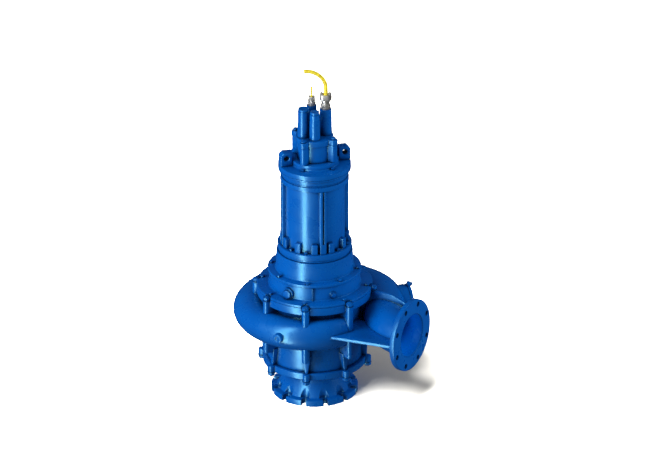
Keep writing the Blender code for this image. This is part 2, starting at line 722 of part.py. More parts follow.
def tall_lugs():
    """Eight lugs for the casing's studs, from the top flange down past the spiral."""
    lug = prism(
        "casing_lugs", tongue_outline(CASING_BODY_RADIUS - CASING_WALL, LUG_REACH, LUG_WIDTH),
        CASING_FOOT_Z + LUG_FOOT_HEIGHT, LUG_TOP_Z, is_tool=True,
    )
    return ring_of(lug, CASING_BOLT_COUNT, LUG_FIRST_ANGLE)


def low_fins():
    """A fin under each tall lug, tapering down to the joint with the suction cover."""
    foot = CASING_FOOT_Z
    top = foot + LUG_FOOT_HEIGHT + CASING_WALL
    inner = CASING_BODY_RADIUS - CASING_WALL
    rings = []
    body = bmesh.new()
    for reach, width, height in (
        (FIN_FOOT_REACH, FIN_FOOT_WIDTH, foot), (FIN_TOP_REACH, FIN_TOP_WIDTH, top),
    ):
        half = width / 2
        corners = ((inner, -half), (reach, -half), (reach, half), (inner, half))
        rings.append([body.verts.new((x, y, height)) for x, y in corners])
    loft(body, rings)
    fin = mesh_object("casing_fins", body, is_tool=True)
    return ring_of(fin, CASING_BOLT_COUNT, LUG_FIRST_ANGLE)


def loft(body, rings):
    """Close the space between two rings of as many points with faces."""
    first, last = rings
    body.faces.new(first)
    body.faces.new(last)
    walls(body, first, last)


def walls(body, first, last):
    """Join two rings of as many points with side faces."""
    for index, corner in enumerate(first):
        after = (index + 1) % len(first)
        body.faces.new((corner, first[after], last[after], last[index]))


def nozzle_rib():
    """Upright rib along the nozzle's top, falling towards the outlet flange."""
    half = NOZZLE_RIB_WIDTH / 2
    end_x = OUTLET_FACE_X - OUTLET_FLANGE_THICKNESS / 2
    corners = (
        (NOZZLE_RIB_START_X, NOZZLE_RIB_FOOT), (end_x, NOZZLE_RIB_FOOT),
        (end_x, NOZZLE_RIB_LOW_TOP), (NOZZLE_RIB_START_X, NOZZLE_RIB_HIGH_TOP),
    )
    body = bmesh.new()
    rings = [
        [body.verts.new((x, NOZZLE_RIB_Y + side, SPIRAL_Z + height)) for x, height in corners]
        for side in (-half, half)
    ]
    loft(body, rings)
    return mesh_object("nozzle_rib", body, is_tool=True)


def plug_seat():
    """Where the cleaning plug stands on the spiral, and its direction."""
    reach = float(spiral_reach(SPIRAL_START_ANGLE - PLUG_ANGLE))
    return polar(reach, PLUG_ANGLE, SPIRAL_Z + PLUG_LIFT), polar(1.0, PLUG_ANGLE)


def plug_boss():
    seat, out = plug_seat()
    return rod("plug_boss", PLUG_RADIUS, seat - out * CASING_WALL / 2, seat + out * PLUG_RISE / 3,
               is_tool=True)


def build_cleaning_plug():
    """Screwed plug on the spiral's front."""
    seat, out = plug_seat()
    foot = seat + out * (PLUG_RISE / 3 + FIT)
    plug = rod("cleaning_plug", PLUG_RADIUS, foot, foot + out * PLUG_RISE)
    return finish(plug, paint("plug_blue", DEEP_BLUE, 0.4, 0.0))


def tapping(line, height):
    """Small plugged tapping on the nozzle's upper front."""
    place = Vector(line[-4])
    tilt = math.radians(12)
    out = Vector((0.0, -math.sin(tilt), math.cos(tilt)))
    outer = place + out * (height[-4] + TAPPING_RISE)
    return rod("nozzle_tapping", TAPPING_RADIUS, outer - out * CASING_WALL, outer,
               sides=HOLE_ROUND, is_tool=True)


def handhole_point(height):
    """A point on the handhole's axis, by its height over the joint with the cover."""
    line, width, _ = spiral_line()
    out = polar(1.0, HANDHOLE_ANGLE)
    bend_reach = float((line @ np.array(out) + width).max())
    reach = bend_reach - HANDHOLE_INSET + height
    return polar(reach, HANDHOLE_ANGLE, SPIRAL_Z + HANDHOLE_LIFT)


def handhole_neck():
    return rod(
        "handhole_neck", HANDHOLE_RADIUS, handhole_point(-HANDHOLE_DEPTH), handhole_point(0.0),
        sides=28, is_tool=True,
    )


def handhole_bore():
    return rod(
        "handhole_bore", HANDHOLE_BORE_RADIUS, handhole_point(-HANDHOLE_DEPTH),
        handhole_point(HANDHOLE_COVER_THICKNESS), sides=24, is_tool=True,
    )


def build_handhole_cover():
    """Round cover with four bolt ears on the handhole's neck."""
    thickness = HANDHOLE_COVER_THICKNESS
    cover = turned("handhole_cover", [
        (0.0, thickness), (HANDHOLE_COVER_RADIUS, thickness), (HANDHOLE_COVER_RADIUS, 0.0),
        (0.0, 0.0),
    ], is_closed=False, sides=28)
    ear = prism(
        "handhole_ears",
        tongue_outline(HANDHOLE_COVER_RADIUS * 0.8, HANDHOLE_EAR_REACH, HANDHOLE_EAR_WIDTH),
        0.0, thickness, is_tool=True,
    )
    join(cover, ring_of(ear, HANDHOLE_EAR_COUNT))
    finish(cover, paint("handhole_blue", BLUE, 0.4, 0.0))
    out = polar(1.0, HANDHOLE_ANGLE)
    side = Vector((0, 0, 1)).cross(out)
    turn = Matrix((side, (0, 0, 1), out)).transposed().to_4x4()
    cover.matrix_local = Matrix.Translation(handhole_point(FIT)) @ turn
    return cover


def throat():
    """Passage from the bore into the spiral where the spiral has moved away from it."""
    swept = np.linspace(THROAT_FIRST_SWEEP, SPIRAL_SWEEP, SPIRAL_STATIONS // 2)
    angle = SPIRAL_START_ANGLE - swept
    points = np.column_stack([
        THROAT_MIDDLE_RADIUS * np.cos(angle), THROAT_MIDDLE_RADIUS * np.sin(angle),
        np.full(len(angle), SPIRAL_Z),
    ])
    return tube("throat", points, np.full(len(points), THROAT_RADIUS), 4, is_tool=True)


def nut_pockets(top):
    """Round pockets over the lugs, for the studs' nuts, up through a joint's height."""
    pocket = rod(
        "nut_pockets", NUT_POCKET_RADIUS, (LUG_STUD_RADIUS, 0, LUG_TOP_Z - NUT_SEAT_DEPTH),
        (LUG_STUD_RADIUS, 0, top + NUT_POCKET_RADIUS), sides=16, is_tool=True,
    )
    return ring_of(pocket, CASING_BOLT_COUNT, LUG_FIRST_ANGLE)


def build_wear_plate():
    """Plate on the suction cover that the vanes run against."""
    foot = SPIGOT_TOP_Z + FIT
    top = foot + WEAR_PLATE_THICKNESS
    plate = turned("wear_plate", [
        (WEAR_PLATE_RADIUS, top), (WEAR_PLATE_RADIUS, foot),
        (SUCTION_BORE_RADIUS, foot), (SUCTION_BORE_RADIUS, top),
    ])
    return finish(plate, paint("wear_plate_iron", IRON, 0.55, 0.8))


def build_impeller():
    """Open impeller: back plate and hub turned in one, and three curved vanes."""
    vane_foot = SPIGOT_TOP_Z + FIT + WEAR_PLATE_THICKNESS + IMPELLER_CLEARANCE
    plate_foot = vane_foot + VANE_HEIGHT
    plate_top = plate_foot + BACK_PLATE_THICKNESS
    hub_top = CASING_COVER_Z - CASING_COVER_SPIGOT - FIT
    impeller = turned("impeller", [
        (0.0, hub_top),
        (HUB_RADIUS, hub_top),
        (HUB_RADIUS, plate_top),
        (IMPELLER_RADIUS, plate_top),
        (IMPELLER_RADIUS, plate_foot),
        (HUB_RADIUS, plate_foot),
        (HUB_RADIUS / 2, plate_foot - HUB_NOSE_DROP),
        (0.0, plate_foot - HUB_NOSE_DROP),
    ], is_closed=False)
    vane = prism(
        "vanes", vane_outline(), vane_foot, plate_foot + BACK_PLATE_THICKNESS / 2, is_tool=True,
    )
    join(impeller, ring_of(vane, VANE_COUNT, VANE_FIRST_ANGLE))
    return finish(impeller, paint("impeller_iron", IRON, 0.5, 0.8))


def vane_outline(steps=10):
    """A vane as a band along a spiral from the eye to just inside the plate's rim."""
    share = np.linspace(0.0, 1.0, steps + 1)
    last = IMPELLER_RADIUS - 2 * MM - VANE_THICKNESS
    radius = VANE_EYE_RADIUS + (last - VANE_EYE_RADIUS) * share
    angle = -VANE_WRAP * share
    inner = np.stack([radius * np.cos(angle), radius * np.sin(angle)], axis=1)
    wide = radius + VANE_THICKNESS
    outer = np.stack([wide * np.cos(angle), wide * np.sin(angle)], axis=1)
    return [tuple(point) for point in np.concatenate([inner, outer[::-1]])]


def build_casing_cover():
    """Cover over the casing's bore, with the oil chamber on it."""
    foot = CASING_COVER_Z
    cover = turned("casing_cover", [
        (0.0, CHAMBER_TOP_Z),
        (OIL_CHAMBER_RADIUS, CHAMBER_TOP_Z),
        (OIL_CHAMBER_FOOT_RADIUS, CHAMBER_FOOT_Z),
        (CASING_TOP_FLANGE_RADIUS, CHAMBER_FOOT_Z),
        (CASING_TOP_FLANGE_RADIUS, foot),
        (CASING_BORE_RADIUS - FIT, foot),
        (CASING_BORE_RADIUS - FIT, foot - CASING_COVER_SPIGOT),
        (0.0, foot - CASING_COVER_SPIGOT),
    ], is_closed=False)
    inner = OIL_CHAMBER_RADIUS - CASTING_RIB_WIDTH
    half = CASTING_RIB_WIDTH / 2
    join(cover, block(
        "casting_rib", (inner, -half, CHAMBER_FOOT_Z - half),
        (OIL_CHAMBER_FOOT_RADIUS + CASTING_RIB_RISE, half, CHAMBER_TOP_Z - half),
        angle=CASTING_RIB_ANGLE, is_tool=True,
    ))
    for name, (angle, radius, rise, _, _) in OIL_PLUGS.items():
        face = polar(OIL_CHAMBER_RADIUS + rise, angle, CHAMBER_TOP_Z - OIL_PLUG_DROP)
        back = face - polar(OIL_CHAMBER_RADIUS / 8, angle)
        join(cover, rod(f"oil_boss_{name}", radius, back, face, is_tool=True))
    cut(cover, nut_pockets(CHAMBER_FOOT_Z))
    return finish(cover, paint("casing_cover_blue", BLUE, 0.4, 0.0))


def build_oil_plugs():
    """A six-sided plug on each oil boss."""
    for name, (angle, _, rise, radius, length) in OIL_PLUGS.items():
        foot = polar(OIL_CHAMBER_RADIUS + rise + FIT, angle, CHAMBER_TOP_Z - OIL_PLUG_DROP)
        plug = rod(f"oil_plug_{name}", radius, foot, foot + polar(length, angle), sides=6)
        finish(plug, paint(f"oil_plug_{name}_blue", DEEP_BLUE, 0.4, 0.0))


def build_bearing_bracket():
    """Bracket between oil chamber and motor."""
    flange_top = BRACKET_Z + BRACKET_FLANGE_THICKNESS
    bracket = turned("bearing_bracket", [
        (0.0, BRACKET_TOP_Z),
        (BRACKET_HEAD_RADIUS, BRACKET_TOP_Z),
        (BRACKET_FOOT_RADIUS, flange_top),
        (BRACKET_FLANGE_RADIUS, flange_top),
        (BRACKET_FLANGE_RADIUS, BRACKET_Z),
        (0.0, BRACKET_Z),
    ], is_closed=False)
    return finish(bracket, paint("bracket_blue", BLUE, 0.4, 0.0))


def build_motor_housing():
    """Motor barrel with its foot flange, gussets and four grooved rails."""
    motor = turned("motor_housing", [
        (0.0, BARREL_TOP_Z),
        (BARREL_RADIUS, BARREL_TOP_Z),
        (BARREL_RADIUS, BARREL_FOOT_Z),
        (MOTOR_FLANGE_RADIUS, BARREL_FOOT_Z),
        (MOTOR_FLANGE_RADIUS, MOTOR_FLANGE_Z),
        (MOTOR_GROOVE_RADIUS, MOTOR_FLANGE_Z),
        (MOTOR_GROOVE_RADIUS, MOTOR_Z),
        (0.0, MOTOR_Z),
    ], is_closed=False)
    inner = BARREL_RADIUS * 0.93
    sunk = BARREL_FOOT_Z - MOTOR_FLANGE_THICKNESS / 2
    half = GUSSET_WIDTH / 2
    gusset = block(
        "foot_gussets", (inner, -half, sunk), (GUSSET_REACH, half, BARREL_FOOT_Z + GUSSET_HEIGHT),
        is_tool=True,
    )
    half = RAIL_WIDTH / 2
    rail = block("rails", (inner, -half, sunk), (RAIL_REACH, half, BARREL_TOP_Z), is_tool=True)
    half = RAIL_GROOVE_WIDTH / 2
    groove = block(
        "rail_grooves", (RAIL_REACH - RAIL_GROOVE_DEPTH, -half, BARREL_FOOT_Z + RAIL_GROOVE_START),
        (RAIL_REACH + RAIL_GROOVE_DEPTH, half, BARREL_TOP_Z + half), is_tool=True,
    )
    first_rail = math.pi / RAIL_COUNT
    join(motor, ring_of(gusset, GUSSET_COUNT), ring_of(rail, RAIL_COUNT, first_rail))
    cut(motor, ring_of(groove, RAIL_COUNT, first_rail))
    return finish(motor, paint("motor_blue", BLUE, 0.4, 0.0))


def build_head_ring():
    """Conical ring with a thin flange between the barrel and the end cover."""
    ring = turned("motor_head_ring", [
        (0.0, HEAD_RING_TOP_Z),
        (END_COVER_RADIUS, HEAD_RING_TOP_Z),
        (END_COVER_RADIUS, HEAD_FLANGE_Z),
        (HEAD_RING_TOP_RADIUS, HEAD_FLANGE_Z),
        (HEAD_RING_FOOT_RADIUS, HEAD_RING_Z),
        (0.0, HEAD_RING_Z),
    ], is_closed=False)
    return finish(ring, paint("head_ring_blue", BLUE, 0.4, 0.0))


def build_end_cover():
    """Disc that closes the motor, with a hub under the terminal housing."""
    cover = turned("end_cover", [
        (0.0, END_HUB_TOP_Z),
        (END_HUB_RADIUS, END_HUB_TOP_Z),
        (END_HUB_RADIUS, END_COVER_TOP_Z),
        (END_COVER_RADIUS, END_COVER_TOP_Z),
        (END_COVER_RADIUS, END_COVER_Z),
        (0.0, END_COVER_Z),
    ], is_closed=False)
    return finish(cover, paint("end_cover_blue", BLUE, 0.4, 0.0))


def build_lifting_lugs():
    """Two upright lugs with an eye, standing on the end cover outside its hub."""
    inner = END_HUB_RADIUS + 2 * FIT
    outer = LIFTING_LUG_OUTER_REACH
    foot = LIFTING_LUG_Z
    top = foot + LIFTING_LUG_HEIGHT
    chamfer = LIFTING_LUG_CHAMFER
    outline = [
        (inner, foot), (outer, foot), (outer, top - chamfer),
        (outer - chamfer, top), (inner, top),
    ]
    half = LIFTING_LUG_THICKNESS / 2
    upright = Matrix(((1, 0, 0, 0), (0, 0, -1, 0), (0, 1, 0, 0), (0, 0, 0, 1)))
    eye_x = (inner + outer) / 2
    eye_z = top - LIFTING_EYE_DROP
    for name, angle in LIFTING_LUG_ANGLES.items():
        lug = prism(f"lifting_lug_{name}", outline, -half, half)
        lug.data.transform(upright)
        eye = rod(
            f"lifting_eye_{name}", LIFTING_EYE_RADIUS, (eye_x, -2 * half, eye_z),
            (eye_x, 2 * half, eye_z), sides=16, is_tool=True,
        )
        cut(lug, eye)
        finish(lug, paint(f"lifting_lug_{name}_blue", BLUE, 0.4, 0.0))
        lug.rotation_euler.z = angle


def build_terminal_housing():
    """Round housing with a bolt column on each of its four sides."""
    housing = turned("terminal_housing", [
        (0.0, TERMINAL_TOP_Z),
        (TERMINAL_RADIUS, TERMINAL_TOP_Z),
        (TERMINAL_RADIUS, TERMINAL_Z),
        (0.0, TERMINAL_Z),
    ], is_closed=False)
    column = prism(
        "terminal_columns",
        tongue_outline(
            TERMINAL_RADIUS * 0.8, TERMINAL_BOLT_CIRCLE_RADIUS + TERMINAL_COLUMN_RADIUS,
            2 * TERMINAL_COLUMN_RADIUS,
        ),
        TERMINAL_Z, TERMINAL_TOP_Z, is_tool=True,
    )
    join(housing, ring_of(column, TERMINAL_BOLT_COUNT))
    return finish(housing, paint("terminal_blue", BLUE, 0.4, 0.0))


def build_terminal_cover():
    """Cover of the terminal housing, with four bolt lugs."""
    cover = turned("terminal_cover", [
        (0.0, TERMINAL_COVER_TOP_Z),
        (TERMINAL_COVER_RADIUS, TERMINAL_COVER_TOP_Z),
        (TERMINAL_COVER_RADIUS, TERMINAL_COVER_Z),
        (0.0, TERMINAL_COVER_Z),
    ], is_closed=False)
    lug = prism(
        "terminal_cover_lugs",
        tongue_outline(
            TERMINAL_RADIUS * 0.8, TERMINAL_BOLT_CIRCLE_RADIUS + TERMINAL_COVER_LUG_RADIUS,
            2 * TERMINAL_COVER_LUG_RADIUS,
        ),
        TERMINAL_COVER_Z, TERMINAL_COVER_TOP_Z, is_tool=True,
    )
    join(cover, ring_of(lug, TERMINAL_BOLT_COUNT))
    return finish(cover, paint("terminal_cover_blue", BLUE, 0.4, 0.0))


def build_towers():
    """Four cable entry towers on the terminal cover, two of them closed with caps."""
    for name, ((x, y), radius) in TOWERS.items():
        tower = rod(
            f"entry_tower_{name}", radius + TOWER_SPREAD, (x, y, TOWER_Z), (x, y, TOWER_TOP_Z),
            top_radius=radius, sides=24,
        )
        finish(tower, paint(f"tower_{name}_blue", BLUE, 0.4, 0.0))
    for name in ("left", "front"):
        (x, y), radius = TOWERS[name]
        foot = TOWER_TOP_Z + FIT
        cap = rod(
            f"blind_cap_{name}", radius - BLIND_CAP_STEP, (x, y, foot),
            (x, y, foot + BLIND_CAP_HEIGHT), sides=24,
        )
        finish(cap, paint(f"blind_cap_{name}_blue", DEEP_BLUE, 0.4, 0.0))


def gland_top(tower, height):
    """Top of the gland body on a tower."""
    (x, y), _ = TOWERS[tower]
    return Vector((x, y, TOWER_TOP_Z + FIT + height))


def build_gland(kind, top, radius, height, saddle, diameter):
    """A round gland body and the saddle that clamps its cable."""
    body = rod(f"{kind}_gland", radius, top - Vector((0, 0, height)), top)
    finish(body, paint(f"{kind}_gland_steel", STEEL, 0.3, 1.0))
    length, width, rise = saddle
    outline = capsule_outline(length, width)
    clamp = prism(f"{kind}_gland_saddle", outline, FIT, rise)
    bore = rod(
        f"{kind}_saddle_bore", diameter / 2 + CABLE_CLEARANCE, (0, 0, -rise), (0, 0, 2 * rise),
        is_tool=True,
    )
    cut(clamp, bore)
    finish(clamp, paint(f"{kind}_saddle_steel", STEEL, 0.3, 1.0))
    clamp.location = top
    clamp.rotation_euler.z = LEAN_ANGLE


def capsule_outline(length, width, steps=6):
    """A band with round ends along X, centred on the origin."""
    half = width / 2
    centre = length / 2 - half
    points = []
    for side in (1, -1):
        for index in range(steps + 1):
            angle = side * math.pi / 2 * (2 * index / steps - 1)
            points.append((side * (centre + half * math.cos(angle)), half * math.sin(angle)))
    return points


def build_glands():
    build_gland(
        "power", gland_top("right", POWER_GLAND_HEIGHT), POWER_GLAND_RADIUS, POWER_GLAND_HEIGHT,
        (POWER_SADDLE_LENGTH, POWER_SADDLE_WIDTH, POWER_SADDLE_HEIGHT), POWER_CABLE_DIAMETER,
    )
    build_gland(
        "control", gland_top("rear", CONTROL_GLAND_HEIGHT), CONTROL_GLAND_RADIUS,
        CONTROL_GLAND_HEIGHT,
        (CONTROL_SADDLE_LENGTH, CONTROL_SADDLE_WIDTH, CONTROL_SADDLE_HEIGHT),
        CONTROL_CABLE_DIAMETER,
    )


def smooth_points(route, spacing):
    """Evenly spaced points of a Catmull-Rom curve through the route's own points."""
    points = np.array(route, dtype=float)
    padded = np.vstack([2 * points[0] - points[1], points, 2 * points[-1] - points[-2]])
    share = np.linspace(0.0, 1.0, 12, endpoint=False)[:, None]
    fine = []
    for index in range(1, len(padded) - 2):
        before, start, end, after = padded[index - 1:index + 3]
        fine.append(0.5 * (
            2 * start + (end - before) * share
            + (2 * before - 5 * start + 4 * end - after) * share ** 2
            + (3 * start - before - 3 * end + after) * share ** 3
        ))
    fine = np.vstack([*fine, points[-1]])
    run = np.concatenate([[0.0], np.cumsum(np.linalg.norm(np.diff(fine, axis=0), axis=1))])
    even = np.linspace(0.0, run[-1], max(3, round(run[-1] / spacing) + 1))
    return np.stack([np.interp(even, run, fine[:, axis]) for axis in range(3)], axis=1)


def build_cables():
    """The two cable stubs, cut off over their glands."""
    lean = polar(1.0, LEAN_ANGLE)
    start = gland_top("right", POWER_GLAND_HEIGHT) + Vector((0, 0, FIT))
    route = [start + lean * out * MM + Vector((0, 0, rise * MM)) for out, rise in POWER_CABLE_ROUTE]
    points = smooth_points(route, 0.8 * POWER_CABLE_DIAMETER)
    radii = np.full(len(points), POWER_CABLE_DIAMETER / 2)
    finish(tube("power_cable", points, radii, 3), paint("power_cable_yellow", YELLOW, 0.6, 0.0))

    start = gland_top("rear", CONTROL_GLAND_HEIGHT) + Vector((0, 0, FIT))
    shares = np.linspace(0.0, 1.0, 4)
    points = [start + Vector((0, 0, CONTROL_CABLE_LENGTH * float(share))) for share in shares]
    radii = np.full(len(points), CONTROL_CABLE_DIAMETER / 2)
    finish(
        tube("control_cable", points, radii, 3), paint("control_cable_yellow", YELLOW, 0.6, 0.0),
    )


def stand_on_footprint():
    """Move the pump so that the middle of its box, without cables, is over the origin."""
    bpy.context.view_layer.update()
    corners = []
    for thing in parts.objects:
        if thing.type != "MESH" or thing.name.endswith("cable"):
            continue
        places = np.empty(len(thing.data.vertices) * 3, dtype=np.float32)
        thing.data.vertices.foreach_get("co", places)
        turn = np.array(thing.matrix_local)
        world = places.reshape(-1, 3) @ turn[:3, :3].T + turn[:3, 3]
        corners += [world.min(axis=0), world.max(axis=0)]
    low = np.min(corners, axis=0)
    high = np.max(corners, axis=0)
    pump.location = (-(low[0] + high[0]) / 2, -(low[1] + high[1]) / 2, -low[2])


def main():
    clear_scene()
    build_suction_cover()
    build_wear_plate()
    build_volute_casing()
    build_cleaning_plug()
    build_handhole_cover()
    build_impeller()
    build_casing_cover()
    build_oil_plugs()
    build_bearing_bracket()
    build_motor_housing()
    build_head_ring()
    build_end_cover()
    build_lifting_lugs()
    build_terminal_housing()
    build_terminal_cover()
    build_towers()
    build_glands()
    build_cables()
    stand_on_footprint()


main()
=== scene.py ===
"""Submersible pump for waste water, dressed on its solid model.

The pump stands on its slotted suction flange. Every casting is drawn again as a smooth
surface with rounded edges, and gets its nuts, bolts, paint, glands and cable stubs. The
impeller, the wear plate and the steel of the glands look as the solid model has them.
Lengths inside the shape functions are millimetres from the shaft's axis and the floor.
"""

import math

import bmesh
import bpy
import numpy as np
from bpy.props import FloatProperty, FloatVectorProperty, PointerProperty
from mathutils import Matrix, Vector


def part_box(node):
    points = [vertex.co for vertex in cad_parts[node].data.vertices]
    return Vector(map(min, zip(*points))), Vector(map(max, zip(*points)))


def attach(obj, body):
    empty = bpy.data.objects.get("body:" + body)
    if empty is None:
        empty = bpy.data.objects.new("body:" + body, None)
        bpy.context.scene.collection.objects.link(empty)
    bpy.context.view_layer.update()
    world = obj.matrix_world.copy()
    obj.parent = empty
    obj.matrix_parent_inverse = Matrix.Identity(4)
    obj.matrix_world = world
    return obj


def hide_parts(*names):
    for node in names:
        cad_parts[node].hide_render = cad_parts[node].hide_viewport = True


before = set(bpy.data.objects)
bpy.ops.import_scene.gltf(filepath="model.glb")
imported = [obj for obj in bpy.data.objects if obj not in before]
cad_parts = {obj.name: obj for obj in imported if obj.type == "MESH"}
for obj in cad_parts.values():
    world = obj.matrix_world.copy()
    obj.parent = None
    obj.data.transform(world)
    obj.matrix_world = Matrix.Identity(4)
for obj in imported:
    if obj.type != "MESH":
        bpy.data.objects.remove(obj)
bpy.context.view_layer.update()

bl_info = {
    "name": "Submersible Pump",
    "version": (1, 0, 0),
    "blender": (4, 5, 0),
    "location": "View3D > Sidebar > Pump",
    "description": "Draws a submersible pump with its fasteners, glands and cables",
    "category": "Add Mesh",
}

MM = 0.001
COVER_LOW, COVER_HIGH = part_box("end_cover")
SHAFT = (COVER_LOW + COVER_HIGH) / 2
FOOT = np.array([SHAFT.x, SHAFT.y, 0])


def span(node):
    """Heights of a node's underside and top in millimetres."""
    return [corner.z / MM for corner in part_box(node)]


def foot_of(node):
    """Height of a node's underside in millimetres."""
    return span(node)[0]


def top_of(node):
    """Height of a node's top in millimetres."""
    return span(node)[1]


# Clearance between two pieces that meet; weld distance in metres and most sides of a seam
GAP = 0.3
SEAM_WELD = 0.00001
SEAM_SIDES = 8

QUARTERS = (0, 90, 180, 270)
LUG_ANGLES = tuple(21 + 45 * k for k in range(8))
SLOT_ANGLES = tuple(15 + 30 * k for k in range(12))
GUSSET_ANGLES = tuple(30 * k for k in range(12))
FOOT_BOLT_ANGLES = tuple(angle for angle in SLOT_ANGLES if angle % 90 != 45)
RAIL_ANGLES = (45, 135, 225, 315)

# Radii that several castings share: the casing's rim, its bore and its circle of nuts
CASING_RIM = 267
CASING_BORE = 200
SPIGOT = CASING_BORE - GAP
NUT_CIRCLE = 274
NUT_SEAT = 9

# Levels and thicknesses of the casing and of the covers that close it
CASING_FOOT = foot_of("volute_casing")
COVER_SPIGOT = 16
COVER_RIM = 12
CASING_TOP = foot_of("casing_cover") + COVER_SPIGOT - GAP
CASING_FLANGE = 38
SUCTION_FLANGE = 32
BRACKET_FLANGE = 14
MOTOR_DECK = foot_of("motor_housing") + 38
END_STEP = 24

# The spiral's level, the outlet's place and the pulls of the bend between them
SPIRAL_HEIGHT = CASING_FOOT + 205
OUTLET_BACK = 489
OUTLET_SIDE = 8
OUTLET_NECK = 107
OUTLET_BOLTS = 147.5
PULLS = (120, 165)
BOSS_HEIGHT = SPIRAL_HEIGHT + 5

# Places given as an angle, a reach and a height
HANDHOLE = (45, 441, SPIRAL_HEIGHT - 7)
HANDHOLE_COVER = 15
OIL_LEVEL = top_of("casing_cover") - 42
OIL_PLUGS = {"front": (-94, 222, OIL_LEVEL), "side": (-36, 214, OIL_LEVEL)}
LIFTING_LUGS = {"front": -135, "back": 45}

# Entries: place and radius of each tower, and of each gland with its saddle
TOWERS = {"left": (-37, -37, 26), "front": (25, -42, 22), "right": (37, 37, 27),
          "rear": (-37, 37, 23)}
POWER_AT = (37, 37)
CONTROL_AT = (-37, 37)

# The way the power cable bends over, and its route as (out, up) from its start
LEAN = math.radians(210)
POWER_ROUTE = (
    (0, 0), (0, 16), (-0.5, 33), (-1, 56), (1, 80), (8, 96),
    (18.5, 111.5), (36, 127), (56, 137.5), (76, 143), (99, 143),
)


# Shape functions


def filleted(corners, closed=True, steps=4):
    """Line through corners (a, b, fillet).

    A corner with a fillet becomes an arc that touches both of its sides: the arc's points
    are the two radii at its ends, mixed by the sines of the remaining and the passed angle.
    """
    points = []
    last = len(corners) - 1
    for index, (a, b, fillet) in enumerate(corners):
        corner = np.array([a, b], float)
        if fillet == 0 or (not closed and index in (0, last)):
            points.append(corner[None])
            continue
        back = np.array(corners[index - 1][:2]) - corner
        ahead = np.array(corners[(index + 1) % (last + 1)][:2]) - corner
        back_run = np.linalg.norm(back)
        ahead_run = np.linalg.norm(ahead)
        back /= back_run
        ahead /= ahead_run
        half = math.acos(np.clip(back @ ahead, -1, 1)) / 2
        reach = min(fillet / math.tan(half), 0.48 * back_run, 0.48 * ahead_run)
        radius = reach * math.tan(half)
        middle = back + ahead
        centre = corner + middle / np.linalg.norm(middle) * radius / math.sin(half)
        start = corner + back * reach - centre
        end = corner + ahead * reach - centre
        turn = math.pi - 2 * half
        share = np.linspace(0, 1, steps + 1)[:, None]
        arc = np.sin((1 - share) * turn) * start + np.sin(share * turn) * end
        points.append(centre + arc / math.sin(turn))
    return np.vstack(points)


def grid_faces(rows, columns, wrap_rows=False):
    """Four-cornered faces between the points of a grid whose columns close on themselves."""
    row = np.arange(rows if wrap_rows else rows - 1)[:, None]
    column = np.arange(columns)[None]
    after_row = (row + 1) % rows
    after_column = (column + 1) % columns
    faces = np.stack([
        row * columns + column, after_row * columns + column,
        after_row * columns + after_column, row * columns + after_column,
    ], axis=-1)
    return faces.reshape(-1, 4).tolist()


def closed_faces(rows, columns):
    """Faces between rings of points, with one flat face at each end."""
    faces = grid_faces(rows, columns)
    faces.append(list(range(columns)))
    faces.append(list(range(rows * columns - 1, (rows - 1) * columns - 1, -1)))
    return faces


def turned(corners, sides=120, steps=4):
    """A profile (radius, height, fillet) turned round the shaft: each point goes round a circle.

    The profile runs down the outer side. It closes through a bore, or starts and ends on
    the axis, where the surface closes in a fan.
    """
    solid = corners[0][0] == 0
    line = filleted(corners, closed=not solid, steps=steps)
    angle = np.linspace(0, math.tau, sides, endpoint=False)
    rim = line[1:-1] if solid else line
    points = np.stack([
        rim[:, :1] * np.cos(angle), rim[:, :1] * np.sin(angle),
        np.repeat(rim[:, 1:], sides, axis=1),
    ], axis=-1).reshape(-1, 3)
    faces = grid_faces(len(rim), sides, wrap_rows=not solid)
    if solid:
        count = len(points)
        poles = [[0, 0, line[0, 1]], [0, 0, line[-1, 1]]]
        points = np.vstack([points, poles])
        base = count - sides
        ring = np.arange(sides)
        after = (ring + 1) % sides
        faces += np.stack([np.full(sides, count), ring, after], axis=1).tolist()
        faces += np.stack([np.full(sides, count + 1), base + after, base + ring], axis=1).tolist()
    return points, faces


def inset(outline, distance):
    """An outline moved inwards: each point along the mean of its two sides' normals."""
    ahead = np.roll(outline, -1, axis=0) - outline
    ahead /= np.linalg.norm(ahead, axis=1)[:, None]
    ahead_out = np.stack([ahead[:, 1], -ahead[:, 0]], axis=1)
    back_out = np.roll(ahead_out, 1, axis=0)
    mean = back_out + ahead_out
    mean /= (1 + (back_out * ahead_out).sum(axis=1))[:, None]
    return outline - mean * distance


def carried(outlines, levels):
    """Outlines of as many points stacked at their levels, with a flat end at both."""
    count = len(outlines[0])
    points = np.vstack([
        np.column_stack([outline, np.full(count, level)])
        for outline, level in zip(outlines, levels)
    ])
    return outward((points, closed_faces(len(levels), count)))


def slab(outline, low, high, edge=2.0, steps=3):
    """An outline carried from a low to a high level with its rims rounded.

    Near each end the outline is inset by edge times one less the sine of an angle, while
    the level goes in by edge times one less its cosine, so the rim is a quarter circle.
    """
    outline = np.asarray(outline, float)
    quarter = np.linspace(0, math.pi / 2, steps + 1)
    into, fall = edge * (1 - np.sin(quarter)), edge * (1 - np.cos(quarter))
    outlines = [inset(outline, distance) for distance in (*into, *into[::-1])]
    return carried(outlines, [*(high - fall), *(low + fall[::-1])])


def cutter(outline, low, high):
    """An outline carried straight from a low to a high level, to cut a hole with."""
    return slab(outline, low, high, edge=0.01, steps=1)


def half_circle(centre, radius, steps, start=-math.pi / 2):
    """Half a circle about a point on the X axis: its cosine and sine over half a turn."""
    angle = np.linspace(start, start + math.pi, steps + 1)
    return np.stack([centre + radius * np.cos(angle), radius * np.sin(angle)], axis=1)


def tongue(inner, reach, width, steps=10):
    """Outline of a lug along +X: straight sides from the inner end and a half circle outside."""
    half = width / 2
    nose = half_circle(reach - half, half, steps)
    return np.vstack([[inner, -half], nose, [inner, half]])


